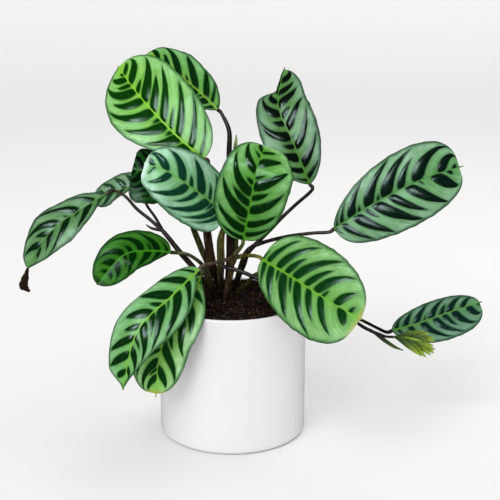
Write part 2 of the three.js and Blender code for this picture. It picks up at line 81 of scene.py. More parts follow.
LEAVES = {
    "a": dict(
        midrib=[(-26, 12, 262), (-56, 26, 286), (-88, 50, 316), (-114, 90, 342)],
        left=(38, 1.3, 1), right=(43, 0.4, 0.35), faces=(-0.2, -0.85, 0.5),
        twist=0, fold=(14, 14), roll=(-24, -24), wave=(1.6, 2.5, 0.1)),
    "b": dict(
        midrib=[(-14, 52, 303), (-33, 68, 319), (-60, 92, 338), (-86, 120, 353)],
        left=(27, 0.65, 0.48), right=(25, 0.65, 0.48), faces=(-0.1, -0.62, 0.78),
        twist=0, fold=(12, 12), roll=(-24, -24), wave=(1.4, 2.5, 0.4)),
    "c": dict(
        midrib=[(74, 30, 235), (58, 40, 274), (44, 56, 308), (51, 84, 341)],
        left=(28, 0.7, 1.1, 0.67), right=(30, 0.6, 0.5), faces=(-0.1, -0.9, 0.4),
        twist=0, fold=(22, 14), roll=(-24, -24), wave=(2, 2.5, 0.7)),
    "d": dict(
        midrib=[(11, -32, 196), (17, -50, 233), (23, -54, 266), (31, -26, 283)],
        left=(33, 0.45, 0.55), right=(34, 0.4, 0.2), faces=(0.02, -0.98, 0.1),
        twist=0, fold=(12, 12), roll=(-30, -30), wave=(1.4, 2.5, 0.2)),
    "e": dict(
        midrib=[(-5, -6, 215), (-32, -20, 239), (-58, -32, 260), (-80, -26, 266)],
        left=(32, 0.2, 0.27), right=(29, 0.5, 0.5), faces=(0.3, -0.9, 0.2),
        twist=0, fold=(12, 12), roll=(-26, -26), wave=(1.4, 2.5, 0.6)),
    "f": dict(
        midrib=[(96, 2, 198), (136, 6, 223), (180, 12, 244), (218, 22, 254)],
        left=(34, 0.65, 0.3), right=(37, 0.38, 0.35), faces=(0, -0.95, 0.3),
        twist=0, fold=(10, 10), roll=(-22, -22), wave=(1.4, 2.5, 0.3)),
    "g": dict(
        midrib=[(28, -40, 180), (56, -68, 170), (86, -98, 158), (113, -122, 149)],
        left=(41, 0.32, 0.42), right=(38, 0.5, 0.3), faces=(-0.45, -0.7, 0.55),
        twist=0, fold=(10, 10), roll=(-26, -26), wave=(1.4, 2.5, 0.8)),
    "h": dict(
        midrib=[(152, -12, 102), (179, -4, 107), (211, 4, 116), (241, 12, 123)],
        left=(16, 0.5, 0.5), right=(25, 0.55, 0.35), faces=(0.05, -0.85, 0.5),
        twist=0, fold=(12, 12), roll=(-20, -20), wave=(1.2, 2.5, 0.3)),
    "j": dict(
        midrib=[(-118, 14, 229), (-140, 4, 217), (-168, -8, 198), (-192, -14, 161)],
        left=(22, 1.3, 1.1), right=(21, 0.8, 0.6), faces=(0.1, -0.6, 0.8),
        twist=10, fold=(14, 14), roll=(-26, -26), wave=(1.8, 2.5, 0.5)),
    "k": dict(
        midrib=[(-57, -9, 178), (-77, -22, 183), (-99, -36, 182), (-123, -46, 156)],
        left=(18.5, 1, 0.6), right=(20, 0.4, 0.45), faces=(0.25, -0.85, 0.45),
        twist=0, fold=(12, 12), roll=(-24, -24), wave=(1.4, 2.5, 0.2)),
    "l": dict(
        midrib=[(-29, -38, 170), (-52, -72, 155), (-81, -96, 130), (-95, -104, 76)],
        left=(27, 1.4, 1.4), right=(28, 0.42, 0.4, 0.87), faces=(-0.1, -0.85, 0.5),
        twist=0, fold=(10, 4), roll=(-40, -60), wave=(1.6, 2.5, 0.4)),
    "m": dict(
        midrib=[(-28, -28, 161), (-40, -63, 137), (-62, -74, 107), (-68, -77, 61)],
        left=(25, 1.1, 0.55), right=(25, 0.6, 0.32), faces=(-0.1, -0.9, 0.4),
        twist=0, fold=(12, 12), roll=(-24, -24), wave=(1.4, 2.5, 0.1)),
    "n": dict(
        midrib=[(-45, 24, 240), (-62, 20, 245), (-79, 18, 249), (-95, 18, 252)],
        left=(33, 0.5, 0.18), right=(25, 0.5, 0.18), faces=(0.1, -0.8, 0.6),
        twist=0, fold=(10, 10), roll=(-24, -24), wave=(1.4, 2.5, 0.6)),
    "p": dict(
        midrib=[(-83, 46, 235), (-102, 48, 228), (-120, 46, 223), (-137, 42, 216)],
        left=(15, 1.6, 0.3), right=(16, 0.4, 0.7), faces=(0, -0.8, 0.6),
        twist=0, fold=(30, 12), roll=(-24, -24), wave=(1.4, 2.5, 0.9)),
}

# Where the rounded outline of a blade ends and its fine point starts, and where the point ends,
# all as shares of the length.
BLADE_END = 0.97
POINT_START = 0.93
POINT_END = 0.978
POINT_ENDS = {"f": 1.0, "h": 1.0, "m": 1.0, "c": 0.99, "j": 1.0}

# Half widths at the blade's base, at the start of its point and at the end of the point.
BLADE_BASE_HALF_WIDTH = 1.4
POINT_HALF_WIDTH = 1.6
POINT_END_HALF_WIDTH = 0.4

# The share of its width that a half loses where it is folded away, and over which share of the
# blade's length.
FOLDED_SHARE = 0.85
FOLD_LENGTH = 0.1

# How far the right half's waves are ahead of the left half's, as a share of a wave.
WAVE_SHIFT = 0.3

# Ripples in the outline, as shares of the half width, and the frill of the margin, in
# millimetres. Each has a height, waves along the blade in radians, and how far they are shifted
# by the phase of the blade's waves and in its right half.
RIPPLES = [(0.006, 43, 9, 2), (0.004, 83, 17, 5)]
FRILL = (0.2, 61, 13, 3)

# A blade's rows of points are partly evenly spaced, by this share, and partly closer at both
# ends. Its columns are closer at the midrib. The end of the point has rows of its own.
EVEN_ROWS = 0.55
COLUMN_POWER = 1.15
POINT_ROWS = 4

# Side veins start from before the base to past the tip, as shares of the length, and are
# followed to the margin in steps. Before and after the two nearest places, the blade counts as
# being as wide as it is there.
VEIN_FIRST = -0.6
VEIN_LAST = 1.05
VEIN_COUNT = 260
VEIN_STEPS = 96
VEIN_NEAR_BASE = 0.02
VEIN_NEAR_TIP = 0.969

# The veins lean least before the base, and more with the way along the blade. They sweep
# forwards with a power of the way to the margin. A half counts as no narrower than a share of
# its greatest width.
LEAST_LEAN = 0.25
LEAN_GROWTH = 2.2
SWEEP_POWER = 1.6
LEAST_HALF = 0.25

# Where a dark band starts on the way to the margin. It is the blunter at its root and its tail,
# the smaller these numbers are, and it is narrower square to its vein than along the midrib.
BAND_START = 0.01
BAND_ROOT = 0.28
BAND_TAIL = 0.66
BAND_SLANT = 0.85

# The upper side is domed over the bands. A band with a smaller half width than this rises less,
# and over the first share of its way it rises slowly.
DOMED_WIDTH = 0.035
DOME_ROOT = 0.12

# The height of the side veins and the distance between them, and how far from the margin and
# the midrib a blade's relief is whole.
RIB_HEIGHT = 0.07
RIB_DISTANCE = 3.1
RELIEF_TO_MARGIN = 6
RELIEF_TO_MIDRIB = 2

# The share of its thickness that a blade loses at the margin, and the share of its size that
# the midrib loses at the tip.
MARGIN_THINNING = 0.5
MIDRIB_TAPER = 0.8

# The midrib below, and the groove above it.
KEEL_HEIGHT = 1.0
KEEL_WIDTH = 0.9
KEEL_LEAST_WIDTH = 0.25
GROOVE_DEPTH = 0.25
GROOVE_WIDTH = 0.8

# The dry tip of the drooping leaf has this distance to bands, midrib and margin, and this place
# along the blade, which is past all green.
DRY_DISTANCE = 5.0
DRY_ALONG = 1.1

# The UV map of the veins is in centimetres.
VEIN_UV = 0.1

# Each dark band lies along a side vein. It is given by where its vein leaves the midrib, as a
# share of the blade's length, its half width as a share of that length, and the share of the
# way to the margin at which it ends. "veins" is how far the veins lean towards the tip where
# they leave the midrib, left and right, and how much they sweep forwards near the margin, left
# and right.

EVEN_BANDS = [
    (0.05, 0.02, 0.85), (0.14, 0.036, 0.93), (0.21, 0.011, 0.3), (0.28, 0.04, 0.95),
    (0.35, 0.018, 0.4), (0.42, 0.044, 0.95), (0.5, 0.02, 0.45), (0.58, 0.044, 0.92),
    (0.65, 0.015, 0.35), (0.735, 0.038, 0.88), (0.79, 0.013, 0.3), (0.86, 0.03, 0.6),
]

BANDS = {
    "a": dict(
        veins=(0.0, 0.7, 2.4, 2.0),
        left=[(0.05, 0.022, 0.88), (0.14, 0.036, 0.95), (0.227, 0.037, 0.88), (0.283, 0.012, 0.28),
              (0.35, 0.037, 0.87), (0.405, 0.012, 0.23), (0.48, 0.038, 0.96), (0.592, 0.031, 0.74),
              (0.687, 0.038, 0.96), (0.755, 0.019, 0.46), (0.823, 0.03, 0.75), (0.88, 0.018, 0.2)],
        right=[(0.035, 0.01, 0.9), (0.12, 0.023, 0.95), (0.23, 0.028, 0.9), (0.3, 0.014, 0.39),
               (0.378, 0.036, 0.86), (0.48, 0.037, 0.6), (0.577, 0.046, 0.86), (0.661, 0.021, 0.27),
               (0.77, 0.041, 0.75), (0.87, 0.022, 0.45)]),
    "b": dict(
        veins=(0.0, 1.6, 2.0, 1.2),
        left=EVEN_BANDS,
        right=[(0.01, 0.01, 0.6), (0.085, 0.016, 0.95), (0.165, 0.034, 0.95), (0.305, 0.046, 0.85),
               (0.412, 0.018, 0.16), (0.53, 0.056, 0.95), (0.69, 0.036, 0.4), (0.845, 0.052, 0.88)]),
    "c": dict(
        veins=(0.1, 0.6, 2.6, 2.6),
        left=[(0.035, 0.01, 0.75), (0.115, 0.02, 0.9), (0.22, 0.034, 0.6), (0.304, 0.019, 0.41),
              (0.388, 0.041, 0.96), (0.495, 0.022, 0.41), (0.577, 0.033, 0.85), (0.67, 0.02, 0.8),
              (0.75, 0.018, 0.8), (0.82, 0.03, 0.9)],
        right=[(0.055, 0.02, 0.92), (0.16, 0.035, 0.85), (0.295, 0.032, 0.85), (0.365, 0.007, 0.16),
               (0.45, 0.038, 0.86), (0.54, 0.024, 0.35), (0.64, 0.042, 0.7), (0.745, 0.032, 0.6),
               (0.86, 0.036, 0.9)]),
    "d": dict(
        veins=(0.6, 0.35, 2.3, 1.4),
        left=[(0.02, 0.024, 0.88), (0.12, 0.04, 0.88), (0.202, 0.01, 0.32), (0.275, 0.047, 0.88),
              (0.382, 0.034, 0.55), (0.483, 0.047, 0.84), (0.566, 0.018, 0.22), (0.67, 0.038, 0.84),
              (0.8, 0.014, 0.3), (0.895, 0.032, 0.5)],
        right=[(0.07, 0.024, 0.92), (0.18, 0.034, 0.85), (0.325, 0.042, 0.85), (0.437, 0.026, 0.43),
               (0.54, 0.047, 0.82), (0.614, 0.012, 0.25), (0.738, 0.046, 0.6), (0.87, 0.02, 0.4)]),
    "e": dict(
        veins=(0.3, 0.65, 3.0, 1.4),
        left=[(0.04, 0.024, 0.85), (0.12, 0.034, 0.88), (0.18, 0.014, 0.3), (0.245, 0.043, 0.95),
              (0.38, 0.026, 0.65), (0.508, 0.045, 0.96), (0.713, 0.034, 0.7), (0.86, 0.012, 0.4)],
        right=[(0.03, 0.022, 0.8), (0.145, 0.032, 0.85), (0.23, 0.016, 0.48), (0.34, 0.05, 0.82),
               (0.46, 0.023, 0.3), (0.575, 0.048, 0.84), (0.76, 0.044, 0.88), (0.89, 0.034, 0.7)]),
    "f": dict(
        veins=(0.4, 0.55, 2.8, 1.4),
        left=[(0.025, 0.008, 0.85), (0.07, 0.014, 0.9), (0.151, 0.032, 0.95), (0.209, 0.009, 0.26),
              (0.287, 0.04, 0.94), (0.354, 0.009, 0.2), (0.423, 0.05, 0.92), (0.532, 0.03, 0.64),
              (0.658, 0.05, 0.96), (0.835, 0.036, 0.85), (0.93, 0.014, 0.2)],
        right=[(0.01, 0.01, 0.5), (0.068, 0.022, 0.94), (0.171, 0.037, 0.92), (0.248, 0.014, 0.38),
               (0.328, 0.047, 0.93), (0.442, 0.034, 0.78), (0.582, 0.047, 0.92), (0.661, 0.009, 0.16),
               (0.787, 0.054, 0.76), (0.884, 0.016, 0.2)]),
    "g": dict(
        veins=(0.4, 0.7, 1.6, 1.2),
        left=[(0.0, 0.014, 0.5), (0.062, 0.022, 0.85), (0.166, 0.031, 0.88), (0.251, 0.025, 0.5),
              (0.335, 0.037, 0.93), (0.448, 0.028, 0.62), (0.549, 0.04, 0.88), (0.62, 0.012, 0.2),
              (0.743, 0.034, 0.62), (0.87, 0.016, 0.3)],
        right=[(0.044, 0.018, 0.9), (0.115, 0.029, 0.93), (0.18, 0.012, 0.35), (0.238, 0.037, 0.9),
               (0.305, 0.013, 0.36), (0.377, 0.038, 0.93), (0.491, 0.03, 0.6), (0.61, 0.031, 0.74),
               (0.804, 0.041, 0.42)]),
    "h": dict(
        veins=(0.5, 0.1, 2.6, 2.8),
        left=[(0.045, 0.022, 0.88), (0.144, 0.032, 0.87), (0.268, 0.037, 0.94), (0.35, 0.009, 0.3),
              (0.432, 0.039, 0.95), (0.54, 0.026, 0.55), (0.634, 0.041, 0.93), (0.778, 0.031, 0.93)],
        right=[(0.065, 0.014, 0.62), (0.19, 0.028, 0.62), (0.335, 0.037, 0.95), (0.472, 0.037, 0.95),
               (0.57, 0.028, 0.56), (0.682, 0.043, 0.88), (0.845, 0.038, 0.72), (0.95, 0.01, 0.25)]),
    "j": dict(
        veins=(0.9, 0.6, 4.0, 3.2),
        left=[(0.07, 0.018, 0.8), (0.19, 0.042, 0.85), (0.297, 0.018, 0.27), (0.405, 0.046, 0.95),
              (0.595, 0.044, 0.55), (0.77, 0.038, 0.45)],
        right=[(0.02, 0.014, 0.9), (0.137, 0.026, 0.9), (0.305, 0.043, 0.96), (0.398, 0.009, 0.2),
               (0.506, 0.047, 0.96), (0.62, 0.03, 0.45), (0.74, 0.038, 0.8)]),
    "k": dict(
        veins=(0.15, 0.15, 3.6, 3.4),
        left=[(0.06, 0.02, 0.8), (0.15, 0.032, 0.9), (0.285, 0.042, 0.92), (0.465, 0.048, 0.94),
              (0.56, 0.021, 0.55), (0.685, 0.04, 0.75), (0.79, 0.024, 0.5)],
        right=[(0.05, 0.015, 0.7), (0.175, 0.038, 0.9), (0.25, 0.012, 0.38), (0.358, 0.038, 0.94),
               (0.48, 0.022, 0.38), (0.572, 0.032, 0.92), (0.7, 0.038, 0.55), (0.81, 0.018, 0.36)]),
    "l": dict(
        veins=(0.9, 0.7, 3.4, 0.4),
        left=[(0.045, 0.014, 0.6), (0.15, 0.026, 0.9), (0.26, 0.036, 0.92), (0.335, 0.008, 0.3),
              (0.395, 0.04, 0.94), (0.47, 0.024, 0.5), (0.555, 0.04, 0.94), (0.64, 0.016, 0.4),
              (0.72, 0.034, 0.9), (0.84, 0.02, 0.8)],
        right=[(0.045, 0.011, 0.9), (0.152, 0.034, 0.94), (0.302, 0.043, 0.84), (0.392, 0.018, 0.3),
               (0.478, 0.038, 0.62), (0.577, 0.021, 0.4), (0.652, 0.027, 0.85), (0.755, 0.03, 0.84),
               (0.86, 0.022, 0.6)]),
    "m": dict(
        veins=(1.0, 0.7, 2.0, 3.6),
        left=[(0.05, 0.026, 0.65), (0.165, 0.03, 0.8), (0.3, 0.038, 0.7), (0.4, 0.038, 0.88),
              (0.52, 0.022, 0.42), (0.612, 0.048, 0.93), (0.79, 0.045, 0.65)],
        right=EVEN_BANDS[:-1] + [(0.85, 0.03, 0.6)]),
    "n": dict(
        veins=(0.2, 0.4, 2.8, 1.0),
        left=[(0.1, 0.047, 0.9), (0.27, 0.055, 0.88), (0.44, 0.05, 0.9), (0.6, 0.055, 0.95),
              (0.78, 0.05, 0.93), (0.93, 0.03, 0.9)],
        right=[(0.1, 0.055, 0.92), (0.3, 0.058, 0.93), (0.46, 0.045, 0.9), (0.6, 0.055, 0.93),
               (0.78, 0.05, 0.8), (0.93, 0.035, 0.9)]),
    "p": dict(
        veins=(0.6, 0.2, 2.0, 1.2),
        left=[(0.1, 0.044, 0.88), (0.25, 0.05, 0.85), (0.42, 0.045, 0.94), (0.62, 0.055, 0.93),
              (0.84, 0.033, 0.78)],
        right=[(0.06, 0.033, 0.78), (0.22, 0.045, 0.8), (0.4, 0.052, 0.85), (0.6, 0.05, 0.93),
               (0.78, 0.036, 0.75)]),
}

# The colours of each blade: pale bands, their silvery outer part, which is partly painted sheen,
# dark bands, midrib, and the tip, which starts at a share of the length.
TINTS = {
    "a": ("86CA54", "98D48C", "033A02", "93D824", "7AB050", 0.97),
    "b": ("6CB054", "84BE7E", "022C07", "86B82E", "6E9F5A", 0.97),
    "c": ("5E8E4E", "7CA286", "030F07", "548E33", "4E7442", 0.97),
    "d": ("64A846", "88C27E", "022A04", "4E9A1E", "8CC27C", 0.95),
    # The tip colour of e is a painted highlight over the plain green of its curled tip.
    "e": ("8CCB90", "B6E0CA", "083C28", "64AE42", "D2EEDC", 0.93),
    "f": ("6EA66A", "8FB696", "041810", "42822E", "6F9A58", 0.97),
    "g": ("76B45A", "90C284", "04380C", "70B222", "A8AE54", 0.945),
    "h": ("62906A", "7CA28A", "07241E", "5A923F", "6E9A62", 0.97),
    "j": ("62925A", "7CA27C", "052209", "4E8038", "2A1C14", 0.985),
    "k": ("34761A", "4A8A34", "022A04", "43901E", "1E4A10", 0.9),
    "l": ("78B86C", "94C696", "042C08", "7CBC3C", "6C8F4A", 0.97),
    # The colours of m are painted lighter to make up for the shade that leaf l casts on it.
    "m": ("94D66C", "B4E4AC", "06380A", "7CBA38", "B0B430", 0.955),
    # The colours of n are painted darker: painted shade, as it hangs in the shade of leaves a and e.
    "n": ("1E521A", "2C5C2A", "011404", "3C7A1C", "2C6628", 0.97),
    "p": ("74A070", "94B696", "1E4229", "648F4C", "5E7A4E", 0.97),
}

# How much stronger the relief of a blade is than the others'.
PUCKERS = {"d": 2.2, "e": 1.3, "h": 0.7, "k": 0.3, "n": 0.4}

# How much a blade reflects, and the ones that reflect less.
REFLECTION = 0.36
REFLECTIONS = {"k": 0.14, "n": 0.18}

# The colour of the margin, and of what a blade reflects.
RIM_TINT = "0A2406"
SHINE_TINT = "DCFFF4"

# The underside: pale bands, their silvery outer part, dark bands and midrib.
UNDERSIDE_TINTS = ("7D8B76", "8A8F86", "4A3A48", "8FA36B")
UNDERSIDE_ROUGHNESS = 0.55
UNDERSIDE_REFLECTION = 0.3

# How far the green beside a dark band is from the dark colour towards the pale one, in red,
# green, blue and alpha.
MIDDLE_SHARES = (0.09, 0.2, 0.09, 1)

# A mark says how strong something is: two values, and its strength at the first and the second.
BLADE_MARKS = {
    # By millimetres inside the edge of a dark band.
    "band": (-0.3, 0.55, 0, 1),
    # The halo is partly the green beside each band and partly painted shade of the puckered blade.
    "halo and painted shade": (-1.8, 0.1, 0, 0.8),
    # Painted light: the middle of each pale stripe is made lighter.
    "painted light between": (-3.0, -6.0, 0, 0.3),
    # By millimetres from the midrib's middle, and from its edge.
    "glow": (0.5, 8.0, 0.4, 0),
    "rib": (-0.45, 0.35, 0.95, 0),
    # By millimetres from the margin.
    "border": (0.3, 4.6, 0.95, 0),
    "rim": (0.15, 0.9, 0.9, 0),
    "margin roughness": (0.3, 5.0, 0.2, 0),
    # By the share of the way to the margin, and by how far past the start of the tip.
    # Silver towards the margin: partly the blade's own tone, partly painted sheen.
    "silver_and_sheen": (0.25, 1.0, 0, 1),
    "tip": (-0.02, 0.03, 0, 1),
    # By the strength of the dark bands.
    "pale roughness": (0, 1, 0.1, 0),
    # By noise.
    "silver patches": (0.3, 0.75, 0.45, 1),
    "hairs": (0.46, 0.68, 0, 0.28),
    "lines": (0.56, 0.66, 0, 0.38),
    "streaks": (0.45, 0.85, 0, 0.07),
    "streak roughness": (0.3, 0.7, -0.02, 0.02),
    "shade": (0.2, 0.8, 0.88, 1.08),
}

# The midrib's painted half width at the base, and what it loses of that to the tip.
RIB_HALF_WIDTH = 1.2
RIB_TAPER = 0.9

# ------------------------------------------------------------------------------ shoots
#
# foot      where the shoot stands in the soil
# branches  route, radius at every point, the leaf that it carries, and its lower and upper tint

HOLE_BOTTOM = 99
SOIL_TOP = 126.5

# How far a shoot stands straight above the soil, and the steps between two points of a route.
COLLAR = 3
ROUTE_STEPS = 9

# The swollen joint under every blade, and how the last radii of its branch are rounded off.
PULVINUS_LENGTH = 6
PULVINUS_NECK = 1.65
PULVINUS_RADIUS = 1.95
PULVINUS_ROUNDING = (0.97, 0.8)

SHOOTS = {
    "front": ((-6.5, 1.5), [
        ([(-4, 0, 144), (-1, -3, 158), (0, -8, 172)], [2.9, 3.0, 2.6], None, "4E3228", "5A4E2A"),
        ([(0, -8, 172), (7, -20, 184)], [2.4, 2.0], "d", "544430", "66723A"),
        ([(0, -8, 172), (13, -20, 178)], [2.4, 2.0], "g", "44401E", "6A6A2A"),
        ([(0, -8, 172), (-9, -17, 172)], [2.1, 1.7], "l", "3E3028", "5A4C40"),
    ]),
    "right": ((3, 33), [
        ([(5, 31, 141), (10, 26, 157), (14, 22.5, 169), (21, 20, 177)], [2.9, 3.7, 3.3, 2.3],
         None, "34340F", "1E1C10"),
        ([(21, 20, 177), (36, 16, 183), (55, 10, 189), (76, 5, 193)], [2.1, 1.8, 1.7, 1.6],
         "f", "1E1814", "342A24"),
        ([(21, 20, 177), (35, 24, 190), (48, 28, 203), (61, 30, 215)], [2.1, 1.9, 1.8, 1.7],
         "c", "1C1612", "221A18"),
    ]),
    "low": ((-10, 9), [
        ([(-10, 1, 148), (-9, -7, 164)], [2.2, 2], None, "2A1C14", "3A2C24"),
        ([(-9, -7, 164), (1, -13, 163), (12, -16, 160), (30, -18, 153), (64, -22, 143),
          (118, -24, 118), (134, -21, 109)], [2.1, 2, 2, 2, 1.7, 1.5, 1.4],
         "h", "32282A", "241E1E"),
    ]),
    "flowering": ((6, 24), [
        ([(7.5, 23, 132.5), (14, 18, 139), (25, 10, 152), (55, -4, 158), (92, -24, 142),
          (116, -31, 117), (130, -34, 109), (138, -35, 106)],
         [2, 2, 2, 1.9, 1.7, 1.6, 1.6, 1.5], None, "5C6430", "2C2A26"),
        ([(138, -35, 106), (143, -36, 104.5), (150, -36, 104)], [1.4, 1.2, 1.2],
         None, "16140F", "2C3418"),
    ]),
    "left": ((-17, 14), [
        ([(-20, 12.5, 134.5), (-26, 10, 142), (-38, 7, 160), (-49, 5, 174), (-59, 6, 187),
          (-65, 8, 194)], [2.4, 2.8, 2.8, 2.6, 2.3, 2.1], None, "241A16", "2A211C"),
        ([(-65, 8, 194), (-77, 12, 204), (-90, 15, 214), (-99, 17, 224), (-106, 18, 229)],
         [1.9, 1.7, 1.6, 1.5, 1.5], "j", "261E1A", "34301E"),
        ([(-65, 8, 194), (-73, 18, 205), (-83, 32, 216), (-84, 44, 227)], [1.6, 1.4, 1.3, 1.3],
         "p", "261E1A", "323A22"),
        ([(-66, 8, 195), (-75, 7, 197), (-81, 6, 201)], [1.7, 1.3, 0.5], None, "2E221C", "3A2A26"),
    ]),
    "upper": ((-13, 25), [
        ([(-15, 23, 142), (-19, 18, 156), (-23.5, 14, 189), (-25, 9.5, 222)],
         [3.0, 4.4, 4.1, 2.2], "a", "36200F", "40261A"),
    ]),
    "back": ((-5, 32), [
        ([(-3.5, 32, 157), (-2.8, 34, 179), (-3, 38, 225), (-3, 42, 262), (-3, 44, 284)],
         [3.0, 3.3, 2.9, 2.6, 2.2], "b", "33241A", "180F10"),
        ([(-3.5, 32, 150), (1.4, 34, 160), (2.9, 36, 178), (4, 38, 205), (3.6, 40, 235),
          (2.4, 41, 263)], [2.6, 3.2, 3.0, 2.1, 1.5, 1.2], None, "40421A", "4E5A2A"),
    ]),
    "middle": ((-11, 17), [
        ([(-11.5, 14, 146), (-10.8, 11, 163), (-10.7, 7, 185), (-7, 2, 200)],
         [2.9, 3.9, 3.6, 2.2], "e", "4A481C", "5E602C"),
    ]),
    "outer": ((-21, 21), [
        ([(-23, 27, 152), (-31, 25.5, 175), (-39, 22, 200), (-41, 19, 224)],
         [2.6, 3.1, 2.7, 1.8], "n", "44461C", "4C4E1E"),
    ]),
    "side": ((-16, 5), [
        ([(-20, -2, 140)], [2.2], "m", "362A1C", "4A4C2C"),
        ([(-19, -1, 138), (-23, -2, 151), (-27, -4, 163), (-33, -6, 170), (-42, -8, 176)],
         [2.1, 2, 2, 1.8, 1.6], "k", "34281E", "3E4422"),
    ]),
}

STEM_MARKS = {
    # By the share of the way along a branch.
    "upper": (0.25, 0.85, 0, 1),
    # By the height in metres: painted shade, darker low on the stems near the soil.
    "painted shade near soil": (0.125, 0.165, 0.35, 1),
    # By noise.
    "fibre": (0.3, 0.7, 0.2, 1.7),
    "streaks": (0.52, 0.66, 0, 0.45),
    "streak patches": (0.35, 0.65, 0, 1),
    "roughness": (0.2, 0.8, 0.28, 0.5),
}
STREAK_TINT = "8C8050"

# ------------------------------------------------------------------------------ small parts
#
# A route has a radius at each of its points. The bracts stand in rows along the spike's axis,
# and each row lists its bracts' tips. A side is the way across a flat part.

SPIKE_AXIS = [(150.4, -36, 104), (160, -37, 104), (169, -38, 102.7), (178, -39, 100.5)]
SPIKE_AXIS_RADII = [1.3, 1.8, 1.6, 0.8]
SPIKE_SIDE = (0.2, 0, 1)
BRACT_TIPS = {
    "lower": [(175.5, -44, 88.3), (180, -43, 86.5), (184.5, -41, 87.8), (187.5, -39, 89)],
    "middle": [(187, -40, 97), (188.5, -41, 93.5), (188.5, -38.5, 101)],
    "upper": [(175, -33, 109), (179, -34, 108.7), (183.3, -36, 108), (187, -38, 104.5)],
}
BRACT_HALF_WIDTH = {"lower": 3.1, "middle": 2.9, "upper": 2.5}
STALK_BRACT_ROUTE = [(132, -35, 108), (141, -36.6, 101.6), (150.5, -39, 95.7), (159, -41, 92.6)]
STALK_BRACT_RADII = [1.2, 2.0, 1.6, 0.4]
BUD_ROUTE = [(2.3, 41, 263.7), (2.9, 40.8, 269), (3.7, 40.4, 275), (4, 40, 281)]
BUD_RADII = [1.2, 1.9, 1.5, 0.4]
DEAD_TIP_ROUTE = [(-190.3, -13.8, 164), (-193, -14, 155), (-195, -14, 147), (-190, -13, 141)]
DEAD_TIP_RADII = [1.2, 3, 4.4, 1.4]
DEAD_TIP_SIDE = (1, 0, 0.2)

# The rings of the dry tip, the points on each, and how much it crumples.
DEAD_TIP_RINGS = 22
DEAD_TIP_SIDES = 20
CRUMPLE = 0.22

# Thickness as a share of the width, and how narrow the keel along the wide faces is.
BRACT_FLATNESS = 0.45
STALK_BRACT_FLATNESS = 0.5
BUD_FLATNESS = 0.8
DEAD_TIP_FLATNESS = 0.45
KEEL_POWER = 6

# Where the first bract of a row leaves the spike's axis, and how far on the next ones do.
BRACT_FIRST = 0.08
BRACT_STEP = 0.26

# How a bract runs from its root: shares of the way to its tip, with its shift to the side and
# its half width there as shares of its greatest half width.
BRACT_FORM = [(0, 0, 0.55), (0.45, 0.25, 1), (0.8, 0.1, 0.62)]
BRACT_TIP_HALF_WIDTH = 0.25

BRACT_MARKS = {
    # By the share of the way along a bract, and across it to its side.
    "body": (0.1, 0.85, 0, 1),
    # Painted shade: each bract is darker towards its edges, as where the bracts overlap.
    "edge": (0.6, 1.0, 0, 0.9),
    # By the waves of the ribs.
    "ribs": (0.1, 1.0, 0, 0.4),
    # By noise.
    "mottle": (0.5, 0.75, 0, 0.45),
}
BRACT_RIBS = 22.0
BRACT_TIP_LENGTH = 0.06

# ------------------------------------------------------------------------------ pot and soil

# The recess under the pot, the slope at its edge, and the floor and the rounded corner inside.
POT_RECESS = 1.2
POT_RECESS_SLOPE = 2
POT_FLOOR = 6
POT_CORNER_RADIUS = 6
POT_SIDES = 144
POT_STEPS = {"foot": 9, "side": 14, "rim": 13, "inside": 8, "corner": 5}
GLAZE_CLOUD = "F3F0F1"

# The soil's bevel at the bottom, how far below its top the side ends, and the rings of its top.
SOIL_BEVEL = 3
SOIL_SHOULDER = 4
SOIL_RINGS = 45
SOIL_SIDES = 120

# Heights of the low lumps and the fine ones, of the mound round the stems, and of the bank up to
# the rim at the back.
LUMPS = 1.1
FINE_LUMPS = 0.35
MOUND = 2.4
MOUND_MIDDLE = (-6, 20)
MOUND_SPREAD = 600
BANK = 2.6
BANK_START = 25
BANK_END = 60

# Crumbs lie where the soil looks up at least this much, turned by up to this angle, in radians,
# about each axis. Their sizes are shares of the mean.
CRUMB_LEAST_UP = 0.6
FULL_TURN = 6.28
CRUMB_LEAST = (0.35, 0.35, 0.25)
CRUMB_MOST = (1.5, 1.2, 0.9)

SOIL_MARKS = {
    # By a random tone for each crumb.
    "brown": (0.25, 0.9, 0, 0.85),
    "specks": (0.94, 0.98, 0, 0.8),
    # By noise.
    "grain": (0.3, 0.75, 0.4, 1.4),
    "patches": (0.3, 0.7, 0.7, 1.15),
}
BROWN_TINT = "5A3C28"

# ------------------------------------------------------------------------------ stage
#
# Lengths in metres, angles in degrees.

FLOOR_PROFILE = [(0.4, 0.0), (1.2, 0.0), (2.2, 0.0), (2.9, 0.02), (3.5, 0.12), (4.0, 0.35),
                 (4.3, 0.75)]
FLOOR_SIDES = 96

# Where the lights hang and what they are aimed at.
KEY_SPOT = (-0.6, -1.3, 1.5)
KEY_TARGET = (0, 0, 0.2)
KEY_ANGLE = 35
TOP_SPOT = (0.5, 0.45, 1.6)
TOP_SIZE = 1.2
PLANT_MIDDLE = (0, 0, 0.22)

# Small lights that only gloss shows, all at one distance from the plant: how far each is turned
# from the front, how high it stands, and its size.
GLINT_DISTANCE = 1.4
GLINTS = {
    "left glint": (-33, 40, 0.45),
    "right glint": (2, 31, 0.4),
    "low glint": (-27, 25, 0.4),
}

# The colour of the even light, and the share of it that gloss shows.
SKY_COLOR = (0.97, 0.985, 1.0, 1)
MIRRORED_SKY = 0.04

CAMERA_SPOT = (0.017, -1.0006, 0.446)
CAMERA_PITCH = 75
CAMERA_LENS = 79.2
CAMERA_SENSOR = 36
CAMERA_REACH = 20

# ------------------------------------------------------------------------------ settings


def tint(code, alpha=1.0):
    """A hexadecimal sRGB colour as linear RGBA."""
    parts = [int(code[i:i + 2], 16) / 255 for i in (0, 2, 4)]
    linear = [c / 12.92 if c <= 0.04045 else ((c + 0.055) / 1.055) ** 2.4 for c in parts]
    return (*linear, alpha)


